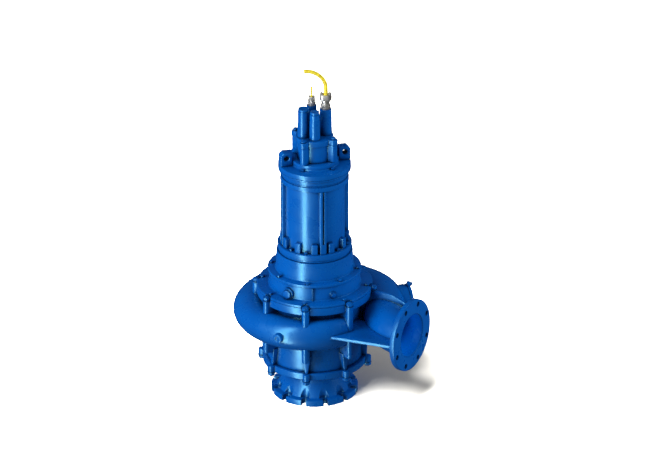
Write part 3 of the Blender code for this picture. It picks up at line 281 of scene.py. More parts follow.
def circle(radius, sides=32, centre=(0, 0)):
    """Outline of a circle."""
    angle = np.linspace(0, math.tau, sides, endpoint=False)
    return np.stack([
        centre[0] + radius * np.cos(angle), centre[1] + radius * np.sin(angle),
    ], axis=1)


def band(length, width, steps):
    """Outline of a band with round ends along X."""
    nose = half_circle((length - width) / 2, width / 2, steps)
    return np.vstack([nose, -nose])


def block_outline(inner, outer, half, fillet):
    """Outline of a block along +X with its two outer corners rounded."""
    return filleted([
        (inner, -half, 0), (outer, -half, fillet), (outer, half, fillet), (inner, half, 0),
    ], steps=3)


def pipe(path, radii, heights, sides):
    """An ellipse carried along a path: its side and up are square to the path's direction.

    The side half width is the radius, the upward one the height.
    """
    along = np.gradient(path, axis=0)
    along /= np.linalg.norm(along, axis=1)[:, None]
    upright = abs(along[:, 2]).max() > 0.8
    guide = np.array([-math.sin(LEAN), math.cos(LEAN), 0]) if upright else np.array([0, 0, 1.0])
    side = np.cross(along, guide)
    side /= np.linalg.norm(side, axis=1)[:, None]
    up = np.cross(side, along)
    angle = np.linspace(0, math.tau, sides, endpoint=False)[None, :, None]
    points = (
        path[:, None] + radii[:, None, None] * np.cos(angle) * side[:, None]
        + heights[:, None, None] * np.sin(angle) * up[:, None]
    )
    return outward((points.reshape(-1, 3), closed_faces(len(path), sides)))


def outward(shape):
    """The shape with its faces turned so that the volume they enclose is positive."""
    points, faces = shape
    corners = np.array([[f[0], f[k], f[k + 1]] for f in faces for k in range(1, len(f) - 1)])
    a, b, c = points[corners[:, 0]], points[corners[:, 1]], points[corners[:, 2]]
    if np.einsum("ij,ij->", a, np.cross(b, c)) < 0:
        faces = [face[::-1] for face in faces]
    return points, faces


def joined(*shapes):
    """Several shapes as one list of points and faces."""
    points = np.vstack([shape[0] for shape in shapes])
    faces = []
    first = 0
    for own_points, own_faces in shapes:
        faces += [[first + corner for corner in face] for face in own_faces]
        first += len(own_points)
    return points, faces


def moved(shape, matrix):
    """The shape's points through a 4 by 4 matrix."""
    points, faces = shape
    turn = np.array(matrix)
    return points @ turn[:3, :3].T + turn[:3, 3], faces


def around(shape, degrees):
    """The shape turned round the shaft to each of several angles."""
    return joined(*(moved(shape, Matrix.Rotation(math.radians(a), 4, "Z")) for a in degrees))


def pointing(place, direction):
    """Matrix that stands a shape made along +Z on a place, pointing in a direction."""
    turn = Vector(direction).to_track_quat("Z", "Y").to_matrix().to_4x4()
    return Matrix.Translation(Vector(place)) @ turn


def facing_out(degrees, reach, height):
    """Matrix that stands a shape made along +Z on a point round the shaft, facing outwards.

    The shape's +X points up and its +Y to the side.
    """
    angle = math.radians(degrees)
    out = Vector((math.cos(angle), math.sin(angle), 0))
    up = Vector((0, 0, 1))
    turn = Matrix((up, out.cross(up), out)).transposed().to_4x4()
    return Matrix.Translation(out * reach + up * height) @ turn


def on_handhole(proud=0):
    """Matrix that stands a shape on the handhole's neck, or so far out from it."""
    degrees, reach, height = HANDHOLE
    return facing_out(degrees, reach + proud, height)


def hexagon(flats):
    """Outline of a hexagon by its width across the flats."""
    return circle(flats / math.sqrt(3), 6)


def bolt_head(flats, height):
    """A hexagon head on a washer, its top corners cut back."""
    thick = 0.14 * height
    head = slab(hexagon(flats), thick, thick + height, edge=0.09 * flats, steps=2)
    disc = slab(circle(0.62 * flats, 24), 0, thick + 0.1, edge=0.3, steps=1)
    return joined(disc, head)


def stud_nut(flats, height, stud, proud):
    """A nut on a washer with the chamfered end of its stud standing out of it."""
    end = slab(circle(stud / 2, 20), height, height + proud, edge=0.12 * stud, steps=1)
    return joined(bolt_head(flats, height), end)


# Objects and shader trees


def placed(name, shape):
    """A shape as an object in its place on the pump."""
    points, faces = shape
    mesh = bpy.data.meshes.new(name)
    mesh.from_pydata((points * MM + FOOT).tolist(), [], faces)
    mesh.update()
    return bpy.data.objects.new(name, mesh)


def dress(thing, material, slot, *nodes):
    """Shade a piece, give it its material, and let it stand for its nodes; the slot is not used."""
    bpy.context.scene.collection.objects.link(thing)
    thing.data.shade_smooth()
    thing.data.set_sharp_from_angle(angle=math.radians(35))
    thing.data.materials.clear()
    thing.data.materials.append(material)
    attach(thing, "root")
    if nodes:
        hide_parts(*nodes)
    return thing


def painted(context, thing, *nodes):
    """Dress a piece in the pump's paint."""
    return dress(thing, pump_paint(context.scene.pump_sizes), "blue_paint", *nodes)


def solid_piece(name, hollow, *bodies):
    """Join closed shapes into one skin, cut the hollow shapes out of it and close its seams."""
    steps = [(body, "UNION") for body in bodies] + [(body, "DIFFERENCE") for body in hollow]
    parts = [placed(f"{name}_{index}", outward(shape)) for index, (shape, _) in enumerate(steps)]
    for thing in parts:
        bpy.context.scene.collection.objects.link(thing)
    base = parts[0]
    for thing, (_, operation) in zip(parts[1:], steps[1:]):
        boolean = base.modifiers.new(thing.name, "BOOLEAN")
        boolean.operation = operation
        boolean.solver = "EXACT"
        boolean.object = thing
    bpy.context.view_layer.update()
    graph = bpy.context.evaluated_depsgraph_get()
    mesh = bpy.data.meshes.new_from_object(base.evaluated_get(graph))
    mesh.name = name
    skin = bmesh.new()
    skin.from_mesh(mesh)
    bmesh.ops.remove_doubles(skin, verts=skin.verts, dist=SEAM_WELD)
    seams = [edge for edge in skin.edges if edge.is_boundary]
    bmesh.ops.holes_fill(skin, edges=seams, sides=SEAM_SIDES)
    loose = [edge for edge in skin.edges if edge.is_wire]
    bmesh.ops.delete(skin, geom=loose, context="EDGES")
    skin.to_mesh(mesh)
    skin.free()
    for thing in parts:
        bpy.data.objects.remove(thing, do_unlink=True)
    return bpy.data.objects.new(name, mesh)


class Tree:
    """Short ways to add and link shader nodes."""

    def __init__(self, holder, shader):
        self.holder = holder
        self.holder.use_nodes = True
        self.tree = self.holder.node_tree
        self.shader = self.tree.nodes[shader]

    def add(self, kind, links=None, **settings):
        """Add a node, set its own properties, and set or link its sockets by name."""
        node = self.tree.nodes.new(kind)
        for key, value in settings.items():
            setattr(node, key, value)
        for key, value in (links or {}).items():
            self.feed(node.inputs[key], value)
        return node

    def feed(self, socket, value):
        """Link an output to a socket, or set the socket's value."""
        if isinstance(value, bpy.types.NodeSocket):
            self.tree.links.new(value, socket)
        else:
            socket.default_value = value

    def mix(self, share, first, second):
        """Colour mix of two colours or outputs."""
        node = self.add("ShaderNodeMix", {0: share}, data_type="RGBA")
        self.feed(node.inputs[6], first)
        self.feed(node.inputs[7], second)
        return node.outputs[2]

    def math(self, operation, first, second=0.0, third=0.0):
        """One arithmetic step."""
        node = self.add("ShaderNodeMath", operation=operation)
        for socket, value in zip(node.inputs, (first, second, third)):
            self.feed(socket, value)
        return node.outputs[0]

    def ramp(self, value, low, high, low_to=0.0, high_to=1.0):
        """A value's range spread over another range and held at its ends."""
        node = self.add("ShaderNodeMapRange", {
            "Value": value, "From Min": low, "From Max": high, "To Min": low_to,
            "To Max": high_to,
        })
        return node.outputs[0]

    def noise(self, vector, scale, detail=3.0, roughness=0.55):
        """Noise value on a position."""
        node = self.add("ShaderNodeTexNoise", {
            "Vector": vector, "Scale": scale, "Detail": detail, "Roughness": roughness,
        })
        return node.outputs[0]

    def bump(self, strength, distance, height, **links):
        """Normal over a relief that is so many metres high."""
        links = {"Strength": strength, "Distance": distance, "Height": height, **links}
        return self.add("ShaderNodeBump", links).outputs[0]

    def surface(self, sockets):
        """Set or link the shader's own sockets by name, which completes the holder."""
        for key, value in sockets.items():
            self.feed(self.shader.inputs[key], value)
        return self.holder


def material(name):
    """A new material's tree and the position that its patterns hang on."""
    tree = Tree(bpy.data.materials.new(name), "Principled BSDF")
    return tree, tree.add("ShaderNodeTexCoord").outputs["Object"]


# Castings and fittings


# Upright plates: their outline is given as (out, up) and their thickness runs sideways
UPRIGHT = Matrix(((1, 0, 0, 0), (0, 0, -1, 0), (0, 1, 0, 0), (0, 0, 0, 1)))


def suction_cover():
    """Slotted flange, flared neck and shoulder turned in one, with eight lugs on the rim."""
    top, joint = top_of("suction_cover"), CASING_FOOT - GAP
    under = joint - SUCTION_FLANGE
    body = turned([
        (SPIGOT, top, 2), (SPIGOT, joint, 0), (240, joint, 3), (240, under, 3), (190, under, 5),
        (190, 136, 4), (181, 127, 3), (138, 127, 9), (138, 94, 20), (150, 73, 30),
        (172, 30, 2.5), (200, 30, 3), (200, 0, 2), (125, 0, 3), (125, top, 5),
    ])
    lugs = around(slab(tongue(186, 264, 32), under, joint, edge=3), LUG_ANGLES)
    half, bolts = 11.5, 175
    nose = half_circle(bolts, half, 10, math.pi / 2)
    slot = cutter(np.vstack([[214, half], nose, [214, -half]]), -6, 36)
    spot_face = slab(circle(23, 32, (bolts, 0)), 29, 110, edge=2)
    hollow = [around(slot, SLOT_ANGLES), around(spot_face, SLOT_ANGLES)]
    return solid_piece("suction_cover_skin", hollow, body, lugs)


def bezier(handles, share):
    """Cubic Bezier curve: the handles weighed by the third powers of the two shares."""
    back = 1 - share
    return (
        back ** 3 * handles[0] + 3 * back ** 2 * share * handles[1]
        + 3 * back * share ** 2 * handles[2] + share ** 3 * handles[3]
    )


def on_spiral(degrees):
    """Outer reach of the spiral at an angle round the shaft, by a Bezier curve."""
    return bezier((285.5, 330, 448.5, 436.5), (-24 - degrees) / 276)


def spiral(stations=84, bend=28):
    """Middle line of the spiral and its nozzle, with its half width and half height.

    The half width rises towards its limit as one less a falling exponential, the half
    height grows as a fourth power, and a Bezier curve carries the last section to the outlet.
    """
    degrees = np.linspace(-24, -300, stations)
    swept = -30 - degrees
    wide = 116 - 74 * np.exp(-swept / 115)
    high = 75 + 32 * (swept / 270) ** 4
    middle = on_spiral(degrees) - wide
    angle = np.radians(degrees)
    flat = np.stack([middle * np.cos(angle), middle * np.sin(angle)], axis=1)
    heading = np.array([math.sin(angle[-1]), -math.cos(angle[-1])])
    end = np.array([OUTLET_BACK, OUTLET_SIDE], float)
    handles = (flat[-1], flat[-1] + heading * PULLS[0], end - np.array([PULLS[1], 0]), end)
    share = np.linspace(0, 1, bend)[1:]
    flat = np.vstack([flat, bezier(handles, share[:, None]), end + [12, 0]])
    halves = [
        np.concatenate([half, half[-1] + (OUTLET_NECK - half[-1]) * share, [OUTLET_NECK]])
        for half in (wide, high)
    ]
    return np.column_stack([flat, np.full(len(flat), SPIRAL_HEIGHT)]), *halves


def nozzle_rib():
    """Upright rib over the nozzle: its top is a sum of powers up to the fourth, fitted to it."""
    out = np.array([225, 280, 337, 390, 430, 470, 501])
    crown = np.array([521, 531, 534, 524, 508, 496, 490])
    fine = np.linspace(out[0], out[-1], 40)
    fit = np.polynomial.Polynomial.fit(out, crown, 4)
    top = np.column_stack([fine, fit(fine)])
    plate = slab(np.vstack([top[::-1], [[out[0], 430], [out[-1], 430]]]), -7, 7, edge=2.5)
    return moved(plate, Matrix.Translation((0, 88, 0)) @ UPRIGHT)


def volute_casing():
    """Spiral, nozzle, flanges, lugs, fins and web in one skin, hollowed and bored."""
    foot, top = CASING_FOOT, CASING_TOP
    under = top - CASING_FLANGE
    body = turned([
        (0, top, 0), (CASING_RIM, top, 3), (CASING_RIM, under, 3.5), (221, under, 9),
        (221, foot, 2.5), (0, foot, 0),
    ])
    line, wide, high = spiral()
    seat = top - NUT_SEAT
    lugs = around(slab(tongue(207, 290, 32, 12), foot + 74, seat, edge=4), LUG_ANGLES)
    share = np.linspace(0, 1, 6)
    fin_rows = [block_outline(207, 244 + 2 * s, 6 + 14 * s, 3) for s in share]
    fins = around(carried(fin_rows, foot + 88 * share), LUG_ANGLES)
    face_on = Matrix.Translation((OUTLET_BACK, OUTLET_SIDE, SPIRAL_HEIGHT))
    face_on @= Matrix.Rotation(math.pi / 2, 4, "Y")
    flange = moved(turned([
        (0, 24, 0), (170, 24, 2), (170, 0, 2.5), (122, 0, 9), (OUTLET_NECK, -14, 6),
        (0, -14, 0),
    ], sides=96), face_on)
    bolts = circle(OUTLET_BOLTS, 16)[1::2]
    holes = joined(*(cutter(circle(11.5, 24, place), -40, 60) for place in bolts))
    holes = moved(holes, face_on)
    web_outline = filleted([
        (210, -212, 3), (497, -159, 0), (497, OUTLET_SIDE, 0), (208, OUTLET_SIDE, 0),
        (147, -147, 0),
    ], steps=3)
    web = slab(web_outline, SPIRAL_HEIGHT - 2, SPIRAL_HEIGHT + 12, edge=2)
    boss_at = (0, -on_spiral(-90), BOSS_HEIGHT)
    boss = moved(slab(circle(22, 32), -9, 4.6, edge=1.5), pointing(boss_at, (0, -1, 0)))
    tilt = math.radians(12)
    up = np.array([0, -math.sin(tilt), math.cos(tilt)])
    tapping_at = pointing(line[-15] + up * OUTLET_NECK, up)
    tapping = moved(slab(circle(11, 24), -14, 6, edge=1.5), tapping_at)
    neck = moved(slab(circle(84, 64), -96, 0, edge=2), on_handhole())

    # The hollow keeps a wall that thins from the bend on, and ends in a lip past the flange
    wall = np.interp(np.arange(len(line)), [83, len(line) - 1], [14, 7])
    mouth = [[x, OUTLET_SIDE, SPIRAL_HEIGHT] for x in (499, 509, 512, 530)]
    lip = [99.5, 100, 103, 106]
    hollow = pipe(
        np.vstack([line[5:-1], mouth]), np.append((wide - wall)[5:-1], lip),
        np.append((high - wall)[5:-1], lip), 50,
    )
    bore = cutter(circle(CASING_BORE, 120), foot - 14, top + 14)
    hand_bore = moved(cutter(circle(62, 48), -96, 15), on_handhole())
    pockets = around(slab(circle(21, 32, (NUT_CIRCLE, 0)), seat, top + 22, edge=1.5), LUG_ANGLES)
    return solid_piece(
        "casing_skin", [hollow, bore, hand_bore, holes, pockets],
        body, lugs, fins, pipe(line, wide, high, 72), flange, web, boss, tapping, neck,
        nozzle_rib(),
    )


def casing_cover():
    """Cover disc with the oil chamber on it, its two plug bosses and a casting seam."""
    foot, top = span("casing_cover")
    joint = foot + COVER_SPIGOT
    rim = joint + COVER_RIM
    body = turned([
        (0, top, 0), (207, top, 2.5), (212, rim, 7), (CASING_RIM, rim, 3), (CASING_RIM, joint, 3),
        (SPIGOT, joint, 0), (SPIGOT, foot, 1.5), (0, foot, 0),
    ])
    seam_outline = np.array([[200, -2.5], [215.5, -2.5], [215.5, 2.5], [200, 2.5]])
    seam = around(slab(seam_outline, rim - 1, top - 3, edge=1), (-62,))
    bosses = [
        moved(slab(circle(radius, sides), -24, 0, edge=edge), facing_out(*OIL_PLUGS[name]))
        for name, radius, sides, edge in (("front", 27, 40, 1.5), ("side", 17, 32, 1.2))
    ]
    pocket = slab(circle(21, 32, (NUT_CIRCLE, 0)), joint - NUT_SEAT, joint + 42, edge=1)
    return solid_piece("casing_cover_skin", [around(pocket, LUG_ANGLES)], body, seam, *bosses)


def oil_plug(name, radius, length):
    """Hexagon plug on a collar, its corners cut back."""
    collar = slab(circle(radius * 0.96, 32), GAP, 0.22 * length, edge=0.6, steps=1)
    head = slab(circle(radius, 6), 0.22 * length, length, edge=0.1 * radius, steps=2)
    return moved(joined(collar, head), facing_out(*OIL_PLUGS[name]))


def bearing_bracket():
    """Flanged bracket: profile turned round the shaft."""
    foot, top = span("bearing_bracket")
    rim = foot + BRACKET_FLANGE
    return turned([
        (0, top, 0), (176, top, 2), (180, rim, 7), (217, rim, 3), (217, foot, 3), (0, foot, 0),
    ])


def motor_housing():
    """Barrel with its foot flange, pocketed gussets and four grooved rails."""
    foot, top = span("motor_housing")
    deck = MOTOR_DECK
    body = turned([
        (0, top, 0), (140, top, 1.5), (140, deck, 6), (172, deck, 2.5), (172, foot + 11, 2.5),
        (168, foot + 11, 0), (168, foot, 1), (0, foot, 0),
    ])
    gusset = slab(block_outline(130, 160, 14, 3), deck - 14, deck + 48, edge=3)
    rail = slab(block_outline(130, 159, 15, 4), deck - 14, top, edge=1.5)
    groove = cutter(np.array([[151, -3], [172, -3], [172, 3], [151, 3]]), deck + 50, top + 8)
    return solid_piece("motor_skin", [around(groove, RAIL_ANGLES)], body,
                       around(gusset, GUSSET_ANGLES), around(rail, RAIL_ANGLES))


def head_ring():
    """Cone with a ridge round its middle under a thin flange."""
    foot, top = span("motor_head_ring")
    return turned([
        (0, top, 0), (168, top, 1.5), (168, top - 8, 1.5), (152, top - 8, 3),
        (154.2, foot + 32, 1), (151, foot + 30, 1), (151.5, foot + 25, 1), (157.2, foot + 23, 1),
        (159, foot, 1.5), (0, foot, 0),
    ])


def end_cover():
    """Stepped disc that closes the motor."""
    foot, top = span("end_cover")
    step = top - END_STEP
    return turned([
        (0, top, 0), (110, top, 3), (110, step, 6), (168, step, 2.5), (168, foot, 1.5),
        (0, foot, 0),
    ])


def lifting_lug(name, degrees):
    """Upright plate with a chamfered outer corner and a bevelled eye."""
    foot = foot_of(name)
    inner, outer, high = 110.6, 166, foot + 66
    plate = slab(filleted([
        (inner, foot, 0), (outer, foot, 0), (outer, high - 14, 4), (outer - 14, high, 4),
        (inner, high, 3),
    ], steps=3), -22.5, 22.5, edge=3.5)
    middle = (138.3, foot + 39)
    eye = cutter(circle(12, 40, middle), -40, 40)
    flares = [
        carried([circle(12.01, 40, middle), circle(16, 40, middle)], [side * 19.5, side * 23.5])
        for side in (-1, 1)
    ]
    turn = Matrix.Rotation(math.radians(degrees), 4, "Z") @ UPRIGHT
    hollow = [moved(shape, turn) for shape in (eye, *flares)]
    return solid_piece(name + "_skin", hollow, moved(plate, turn))


def lobed(foot, top, radius, rims, lobe, edge, sides=96):
    """Disc and its four lobes for bolts, as two shapes."""
    profile = [(0, top, 0), (radius, top, rims[0]), (radius, foot, rims[1]), (0, foot, 0)]
    lobes = around(slab(tongue(60, *lobe, 12), foot, top, edge=edge), QUARTERS)
    return turned(profile, sides=sides), lobes


def entry_tower(radius, foot, top):
    """Profile of a slightly tapered tower with a rounded foot and a bevelled top."""
    return [(0, top, 0), (radius, top, 1.5), (radius + 3, foot, 1), (0, foot, 0)]


def blind_cap(radius, foot, top):
    """Profile of a cap over an entry that is not used, with a shallow dish on top."""
    rim = radius - 1.5
    return [
        (0, top - 1.5, 0), (0.62 * rim, top - 1.5, 1.5), (0.7 * rim, top, 1.5), (rim, top, 2),
        (rim, foot, 0.8), (0, foot, 0),
    ]


def entry_at(x, y, height=0):
    """Matrix that stands a shape on an entry, turned the way the power cable bends over."""
    return Matrix.Translation((x, y, height)) @ Matrix.Rotation(LEAN, 4, "Z")


def gland(kind, x, y, radius):
    """Gland body: a foot ring, a square block with a screw in each side, and a neck."""
    foot, top = span(f"{kind}_gland")
    high = top - foot
    neck = turned([
        (0, top, 0), (0.9 * radius, top, 1.2), (0.9 * radius, foot + 0.74 * high, 0.8),
        (0.74 * radius, foot + 0.7 * high, 0.6), (0.74 * radius, foot + 0.2 * high, 0.6),
        (radius, foot + 0.16 * high, 1), (radius, foot, 1), (0, foot, 0),
    ], sides=48)
    half = 0.82 * radius
    corners = ((-half, -half, 3), (half, -half, 3), (half, half, 3), (-half, half, 3))
    square = filleted(corners, steps=3)
    block = slab(square, foot + 0.22 * high, foot + 0.62 * high, edge=1.5)
    screw = slab(circle(0.3 * radius, 24), -1, 0.2 * radius, edge=0.8)
    level = foot + 0.42 * high
    screws = around(moved(screw, pointing((half, 0, level), (1, 0, 0))), QUARTERS)
    return moved(joined(neck, block, screws), entry_at(x, y))


def saddle(kind, x, y, length, width, bore):
    """Two half clamps round the cable, a joint between them and a screw head at each end."""
    foot, top = span(f"{kind}_gland_saddle")
    deck = top - 0.14 * (top - foot)
    block = slab(band(length, width, 12), foot, deck, edge=2.2)
    reach = length / 2 - 0.26 * width
    heads = [
        slab(hexagon(0.4 * width) + [side * reach, 0], deck - 1, top, edge=0.8, steps=2)
        for side in (-1, 1)
    ]
    split = np.array([[-length, -1.2], [length, -1.2], [length, 1.2], [-length, 1.2]])
    hollow = [
        cutter(circle(bore, 40), foot - 9, top + 9),
        cutter(split, foot - 9, foot + 0.7 * (top - foot)),
    ]
    hollow, solid = ([moved(shape, entry_at(x, y)) for shape in shapes]
                     for shapes in (hollow, [block, *heads]))
    return solid_piece(f"{kind}_saddle_skin", hollow, *solid)


def smooth_run(route, count):
    """Even points on a Catmull-Rom curve through the route's own points."""
    points = np.array(route, float)
    padded = np.vstack([2 * points[0] - points[1], points, 2 * points[-1] - points[-2]])
    share = np.linspace(0, 1, 12, endpoint=False)[None, :, None]
    before, start, end, after = (padded[k:len(padded) - 3 + k, None] for k in range(4))
    fine = 0.5 * (
        2 * start + (end - before) * share + (2 * before - 5 * start + 4 * end - after) * share ** 2
        + (3 * start - before - 3 * end + after) * share ** 3
    )
    fine = np.vstack([fine.reshape(-1, points.shape[1]), points[-1:]])
    run = np.concatenate([[0], np.cumsum(np.linalg.norm(np.diff(fine, axis=0), axis=1))])
    even = np.linspace(0, run[-1], count)
    columns = [np.interp(even, run, fine[:, axis]) for axis in range(points.shape[1])]
    return np.stack(columns, axis=1), float(run[-1])


# Materials


def pump_paint(sizes):
    """Glossy blue enamel over iron: mottled, faintly pebbled, with painted shade along its edges
    and in its nooks.
    """
    name = "blue_enamel"
    if name in bpy.data.materials:
        return bpy.data.materials[name]
    tree, place = material(name)
    blue = tuple(sizes.paint_colour)
    deep = (blue[0], blue[1] * 0.82, blue[2] * 0.88, 1)
    # Dark blue that is mixed in as painted shade along edges, in creases and in recesses
    painted_shade = (0.0, blue[1] * 0.12, blue[2] * 0.16, 1)
    mottle = tree.ramp(tree.noise(place, 7.0, 4.0), 0.35, 0.7)
    colour = tree.mix(mottle, blue, deep)
    runs = tree.ramp(tree.noise(place, 38.0, 5.0, 0.7), 0.62, 0.8, 0.0, 0.35)
    colour = tree.mix(runs, colour, deep)
    # Painted shade: where the rounded normal leaves the flat one, along every edge and crease, the
    # enamel darkens towards the shade colour, broken up by noise
    flat = tree.add("ShaderNodeNewGeometry").outputs["Normal"]
    rounded = tree.add("ShaderNodeBevel", {"Radius": 0.0042}, samples=8).outputs[0]
    same = tree.add("ShaderNodeVectorMath", {0: flat, 1: rounded}, operation="DOT_PRODUCT")
    edge = tree.ramp(same.outputs["Value"], 0.995, 0.93)
    patchy = tree.ramp(tree.noise(place, 24.0, 3.0), 0.38, 0.62, 0.6, 0.95)
    colour = tree.mix(tree.math("MULTIPLY", edge, patchy), colour, painted_shade)
    # Painted shade: ambient occlusion darkens the enamel in recesses and in the gaps between parts
    nook = tree.add("ShaderNodeAmbientOcclusion", {"Distance": 0.045}, samples=8)
    colour = tree.mix(tree.ramp(nook.outputs["AO"], 0.74, 0.4, 0.0, 0.95), colour, painted_shade)
    pebble = tree.noise(place, 420.0, 2.0)
    height = tree.math("MULTIPLY_ADD", tree.noise(place, 55.0, 3.0), 3.0, pebble)
    return tree.surface({
        "Base Color": colour,
        "Roughness": tree.ramp(tree.noise(place, 15.0, 4.0), 0.3, 0.7, 0.24, 0.34),
        "Normal": tree.bump(0.16, 0.0004, height, Normal=rounded),
        "Specular IOR Level": 0.6, "Specular Tint": (0.27, 0.84, 1.0, 1.0),
    })


def cable_jacket(sizes):
    """Yellow rubber sheath: scuffed dark flecks, a fine grain, and the brown core at the cut."""
    tree, place = material("cable_rubber")
    yellow = tuple(sizes.cable_colour)
    ochre = (yellow[0] * 0.55, yellow[1] * 0.45, 0.01, 1)
    black = (0.03, 0.027, 0.02, 1)
    colour = tree.mix(tree.ramp(tree.noise(place, 120.0, 4.0), 0.4, 0.68), yellow, ochre)
    flecks = tree.ramp(tree.noise(place, 230.0, 3.0, 0.7), 0.59, 0.66, 0.0, 0.9)
    colour = tree.mix(flecks, colour, black)
    core = tree.add("ShaderNodeAttribute", attribute_name="core")
    grain = tree.noise(place, 900.0, 2.0)
    return tree.surface({
        "Base Color": tree.mix(core.outputs["Fac"], colour, (0.16, 0.05, 0.03, 1)),
        "Normal": tree.bump(0.2, 0.0004, grain),
        "Roughness": tree.ramp(grain, 0.3, 0.7, 0.42, 0.62),
    })


def floor_paint():
    """Pale studio floor with the faintest cloudiness."""
    tree, place = material("studio_floor")
    cloud = tree.ramp(tree.noise(place, 1.2, 3.0), 0.3, 0.7)
    colour = tree.mix(cloud, (0.9, 0.87, 0.8, 1), (0.93, 0.9, 0.83, 1))
    return tree.surface({"Base Color": colour, "Roughness": 0.9, "Specular IOR Level": 0.0})


# Operators: each puts one piece or group of like pieces on the pump


def direction(azimuth, elevation):
    """Unit vector from the pump towards a place by its azimuth and elevation in degrees."""
    a, e = math.radians(azimuth), math.radians(elevation)
    return Vector((math.sin(a) * math.cos(e), -math.cos(a) * math.cos(e), math.sin(e)))


def length(name, description, default, low, high):
    """A length in metres that a user would change."""
    return FloatProperty(
        name=name, description=description, default=default, min=low, max=high, unit="LENGTH",
    )


class PumpSizes(bpy.types.PropertyGroup):
    """Sizes and finishes of the pump that a user would change."""

    paint_colour: FloatVectorProperty(
        name="Paint", description="Colour of the enamel on every casting", subtype="COLOR",
        size=4, min=0, max=1, default=(0.0, 0.095, 0.43, 1.0),
    )
    cable_colour: FloatVectorProperty(
        name="Cable", description="Colour of the cables' rubber", subtype="COLOR",
        size=4, min=0, max=1, default=(0.95, 0.8, 0.02, 1.0),
    )
    power_cable: length("Power cable", "Diameter of the power cable", 0.018, 0.01, 0.03)
    control_cable: length("Control cable", "Diameter of the control cable", 0.008, 0.004, 0.012)
    casing_nut: length(
        "Casing nuts", "Width across the flats of the casing's nuts", 0.030, 0.018, 0.036,
    )
    flange_bolt: length(
        "Flange bolts", "Width across the flats of the column's bolts", 0.018, 0.01, 0.022,
    )


class PUMP_OT_camera(bpy.types.Operator):
    """Stand the camera at the product view: 30 degrees to the right and 26 above"""

    bl_idname = "pump.camera"
    bl_label = "Camera"

    def execute(self, context):
        frame_width = 2.9946
        data = bpy.data.cameras.new("product_view")
        data.lens = 800
        data.sensor_width = 36
        data.clip_end = 400
        camera = bpy.data.objects.new("product_view", data)
        target = Vector((SHAFT.x + 0.0415, SHAFT.y + 0.02396, 0.7822))
        back = direction(30, 26)
        camera.location = target + back * data.lens / data.sensor_width * frame_width
        camera.rotation_euler = back.to_track_quat("Z", "Y").to_euler()
        context.scene.collection.objects.link(camera)
        context.scene.camera = camera
        return {"FINISHED"}


class PUMP_OT_cables(bpy.types.Operator):
    """Draw the two cable stubs over their glands"""

    bl_idname = "pump.cables"
    bl_label = "Cables"

    def execute(self, context):
        sizes = context.scene.pump_sizes
        lean = np.array([math.cos(LEAN), math.sin(LEAN), 0])
        up = np.array([0, 0, 1.0])
        out, rise = np.array(POWER_ROUTE, float).T
        start = np.array([*POWER_AT, top_of("power_gland") + GAP])
        route = start + out[:, None] * lean + rise[:, None] * up
        jacket = cable_jacket(sizes)
        self.lay("power_cable", route, sizes.power_cable, jacket)
        levels = np.linspace(top_of("control_gland") + GAP, top_of("control_cable"), 5)
        route = np.column_stack([np.full((5, 2), CONTROL_AT), levels])
        self.lay("control_cable", route, sizes.control_cable, jacket)
        return {"FINISHED"}

    def lay(self, name, route, diameter, jacket):
        """A circle carried along the smoothed route, closed by a cut face with a core."""
        line, run = smooth_run(route, 32)
        radii = np.full(len(line), diameter / 2 / MM)
        sides = 32
        points = pipe(line, radii, radii, sides)[0]
        rim = points[-sides:] - line[-1]
        rings = [line[-1] + rim * share for share in (0.98, 0.8, 0.79, 0.4)]
        foot = points[:sides].mean(axis=0)
        points = np.vstack([points, *rings, line[-1:], foot[None]])
        rows = len(line) + len(rings)
        faces = grid_faces(rows, sides)
        last = rows * sides
        ring = np.arange(sides)
        after = (ring + 1) % sides
        base = last - sides
        faces += np.stack([base + ring, base + after, np.full(sides, last)], axis=1).tolist()
        faces += np.stack([after, ring, np.full(sides, last + 1)], axis=1).tolist()
        core = np.zeros(len(points))
        core[(rows - 2) * sides:last + 1] = 1.0
        thing = placed(name + "_stub", outward((points, faces)))
        dress(thing, jacket, name, name)
        thing.data.attributes.new("core", "FLOAT", "POINT").data.foreach_set("value", core)


class PUMP_OT_suction_cover(bpy.types.Operator):
    """Draw the suction cover"""

    bl_idname = "pump.suction_cover"
    bl_label = "Suction cover"

    def execute(self, context):
        painted(context, suction_cover(), "suction_cover")
        return {"FINISHED"}


class PUMP_OT_casing(bpy.types.Operator):
    """Draw the volute casing with its cleaning plug and handhole cover"""

    bl_idname = "pump.casing"
    bl_label = "Volute casing"

    def execute(self, context):
        painted(context, volute_casing(), "volute_casing")
        seat = (0, -on_spiral(-90) - 5, BOSS_HEIGHT)
        plug = moved(turned([
            (0, 11, 0), (9, 11, 0.8), (10, 14, 1), (19, 14, 2), (22, 11, 2), (22, 0, 1), (0, 0, 0),
        ], sides=48), pointing(seat, (0, -1, 0)))
        painted(context, placed("cleaning_plug_skin", outward(plug)), "cleaning_plug")
        cover = lobed(0, HANDHOLE_COVER, 86, (3, 1.5), (105, 28), 3, sides=72)
        cover = [moved(shape, on_handhole(GAP)) for shape in cover]
        painted(context, solid_piece("handhole_cover_skin", [], *cover), "handhole_cover")
        return {"FINISHED"}


class PUMP_OT_column(bpy.types.Operator):
    """Draw the casing cover, the bracket and the motor up to its end cover"""

    bl_idname = "pump.column"
    bl_label = "Bracket and motor"

    def execute(self, context):
        painted(context, casing_cover(), "casing_cover")
        for side, radius, length in (("front", 23, 13), ("side", 14, 7)):
            node = f"oil_plug_{side}"
            painted(context, placed(f"{node}_skin", oil_plug(side, radius, length)), node)
        painted(context, placed("bracket_skin", bearing_bracket()), "bearing_bracket")
        painted(context, motor_housing(), "motor_housing")
        painted(context, placed("head_ring_skin", head_ring()), "motor_head_ring")
        painted(context, placed("end_cover_skin", end_cover()), "end_cover")
        for side, degrees in LIFTING_LUGS.items():
            node = f"lifting_lug_{side}"
            painted(context, lifting_lug(node, degrees), node)
        return {"FINISHED"}


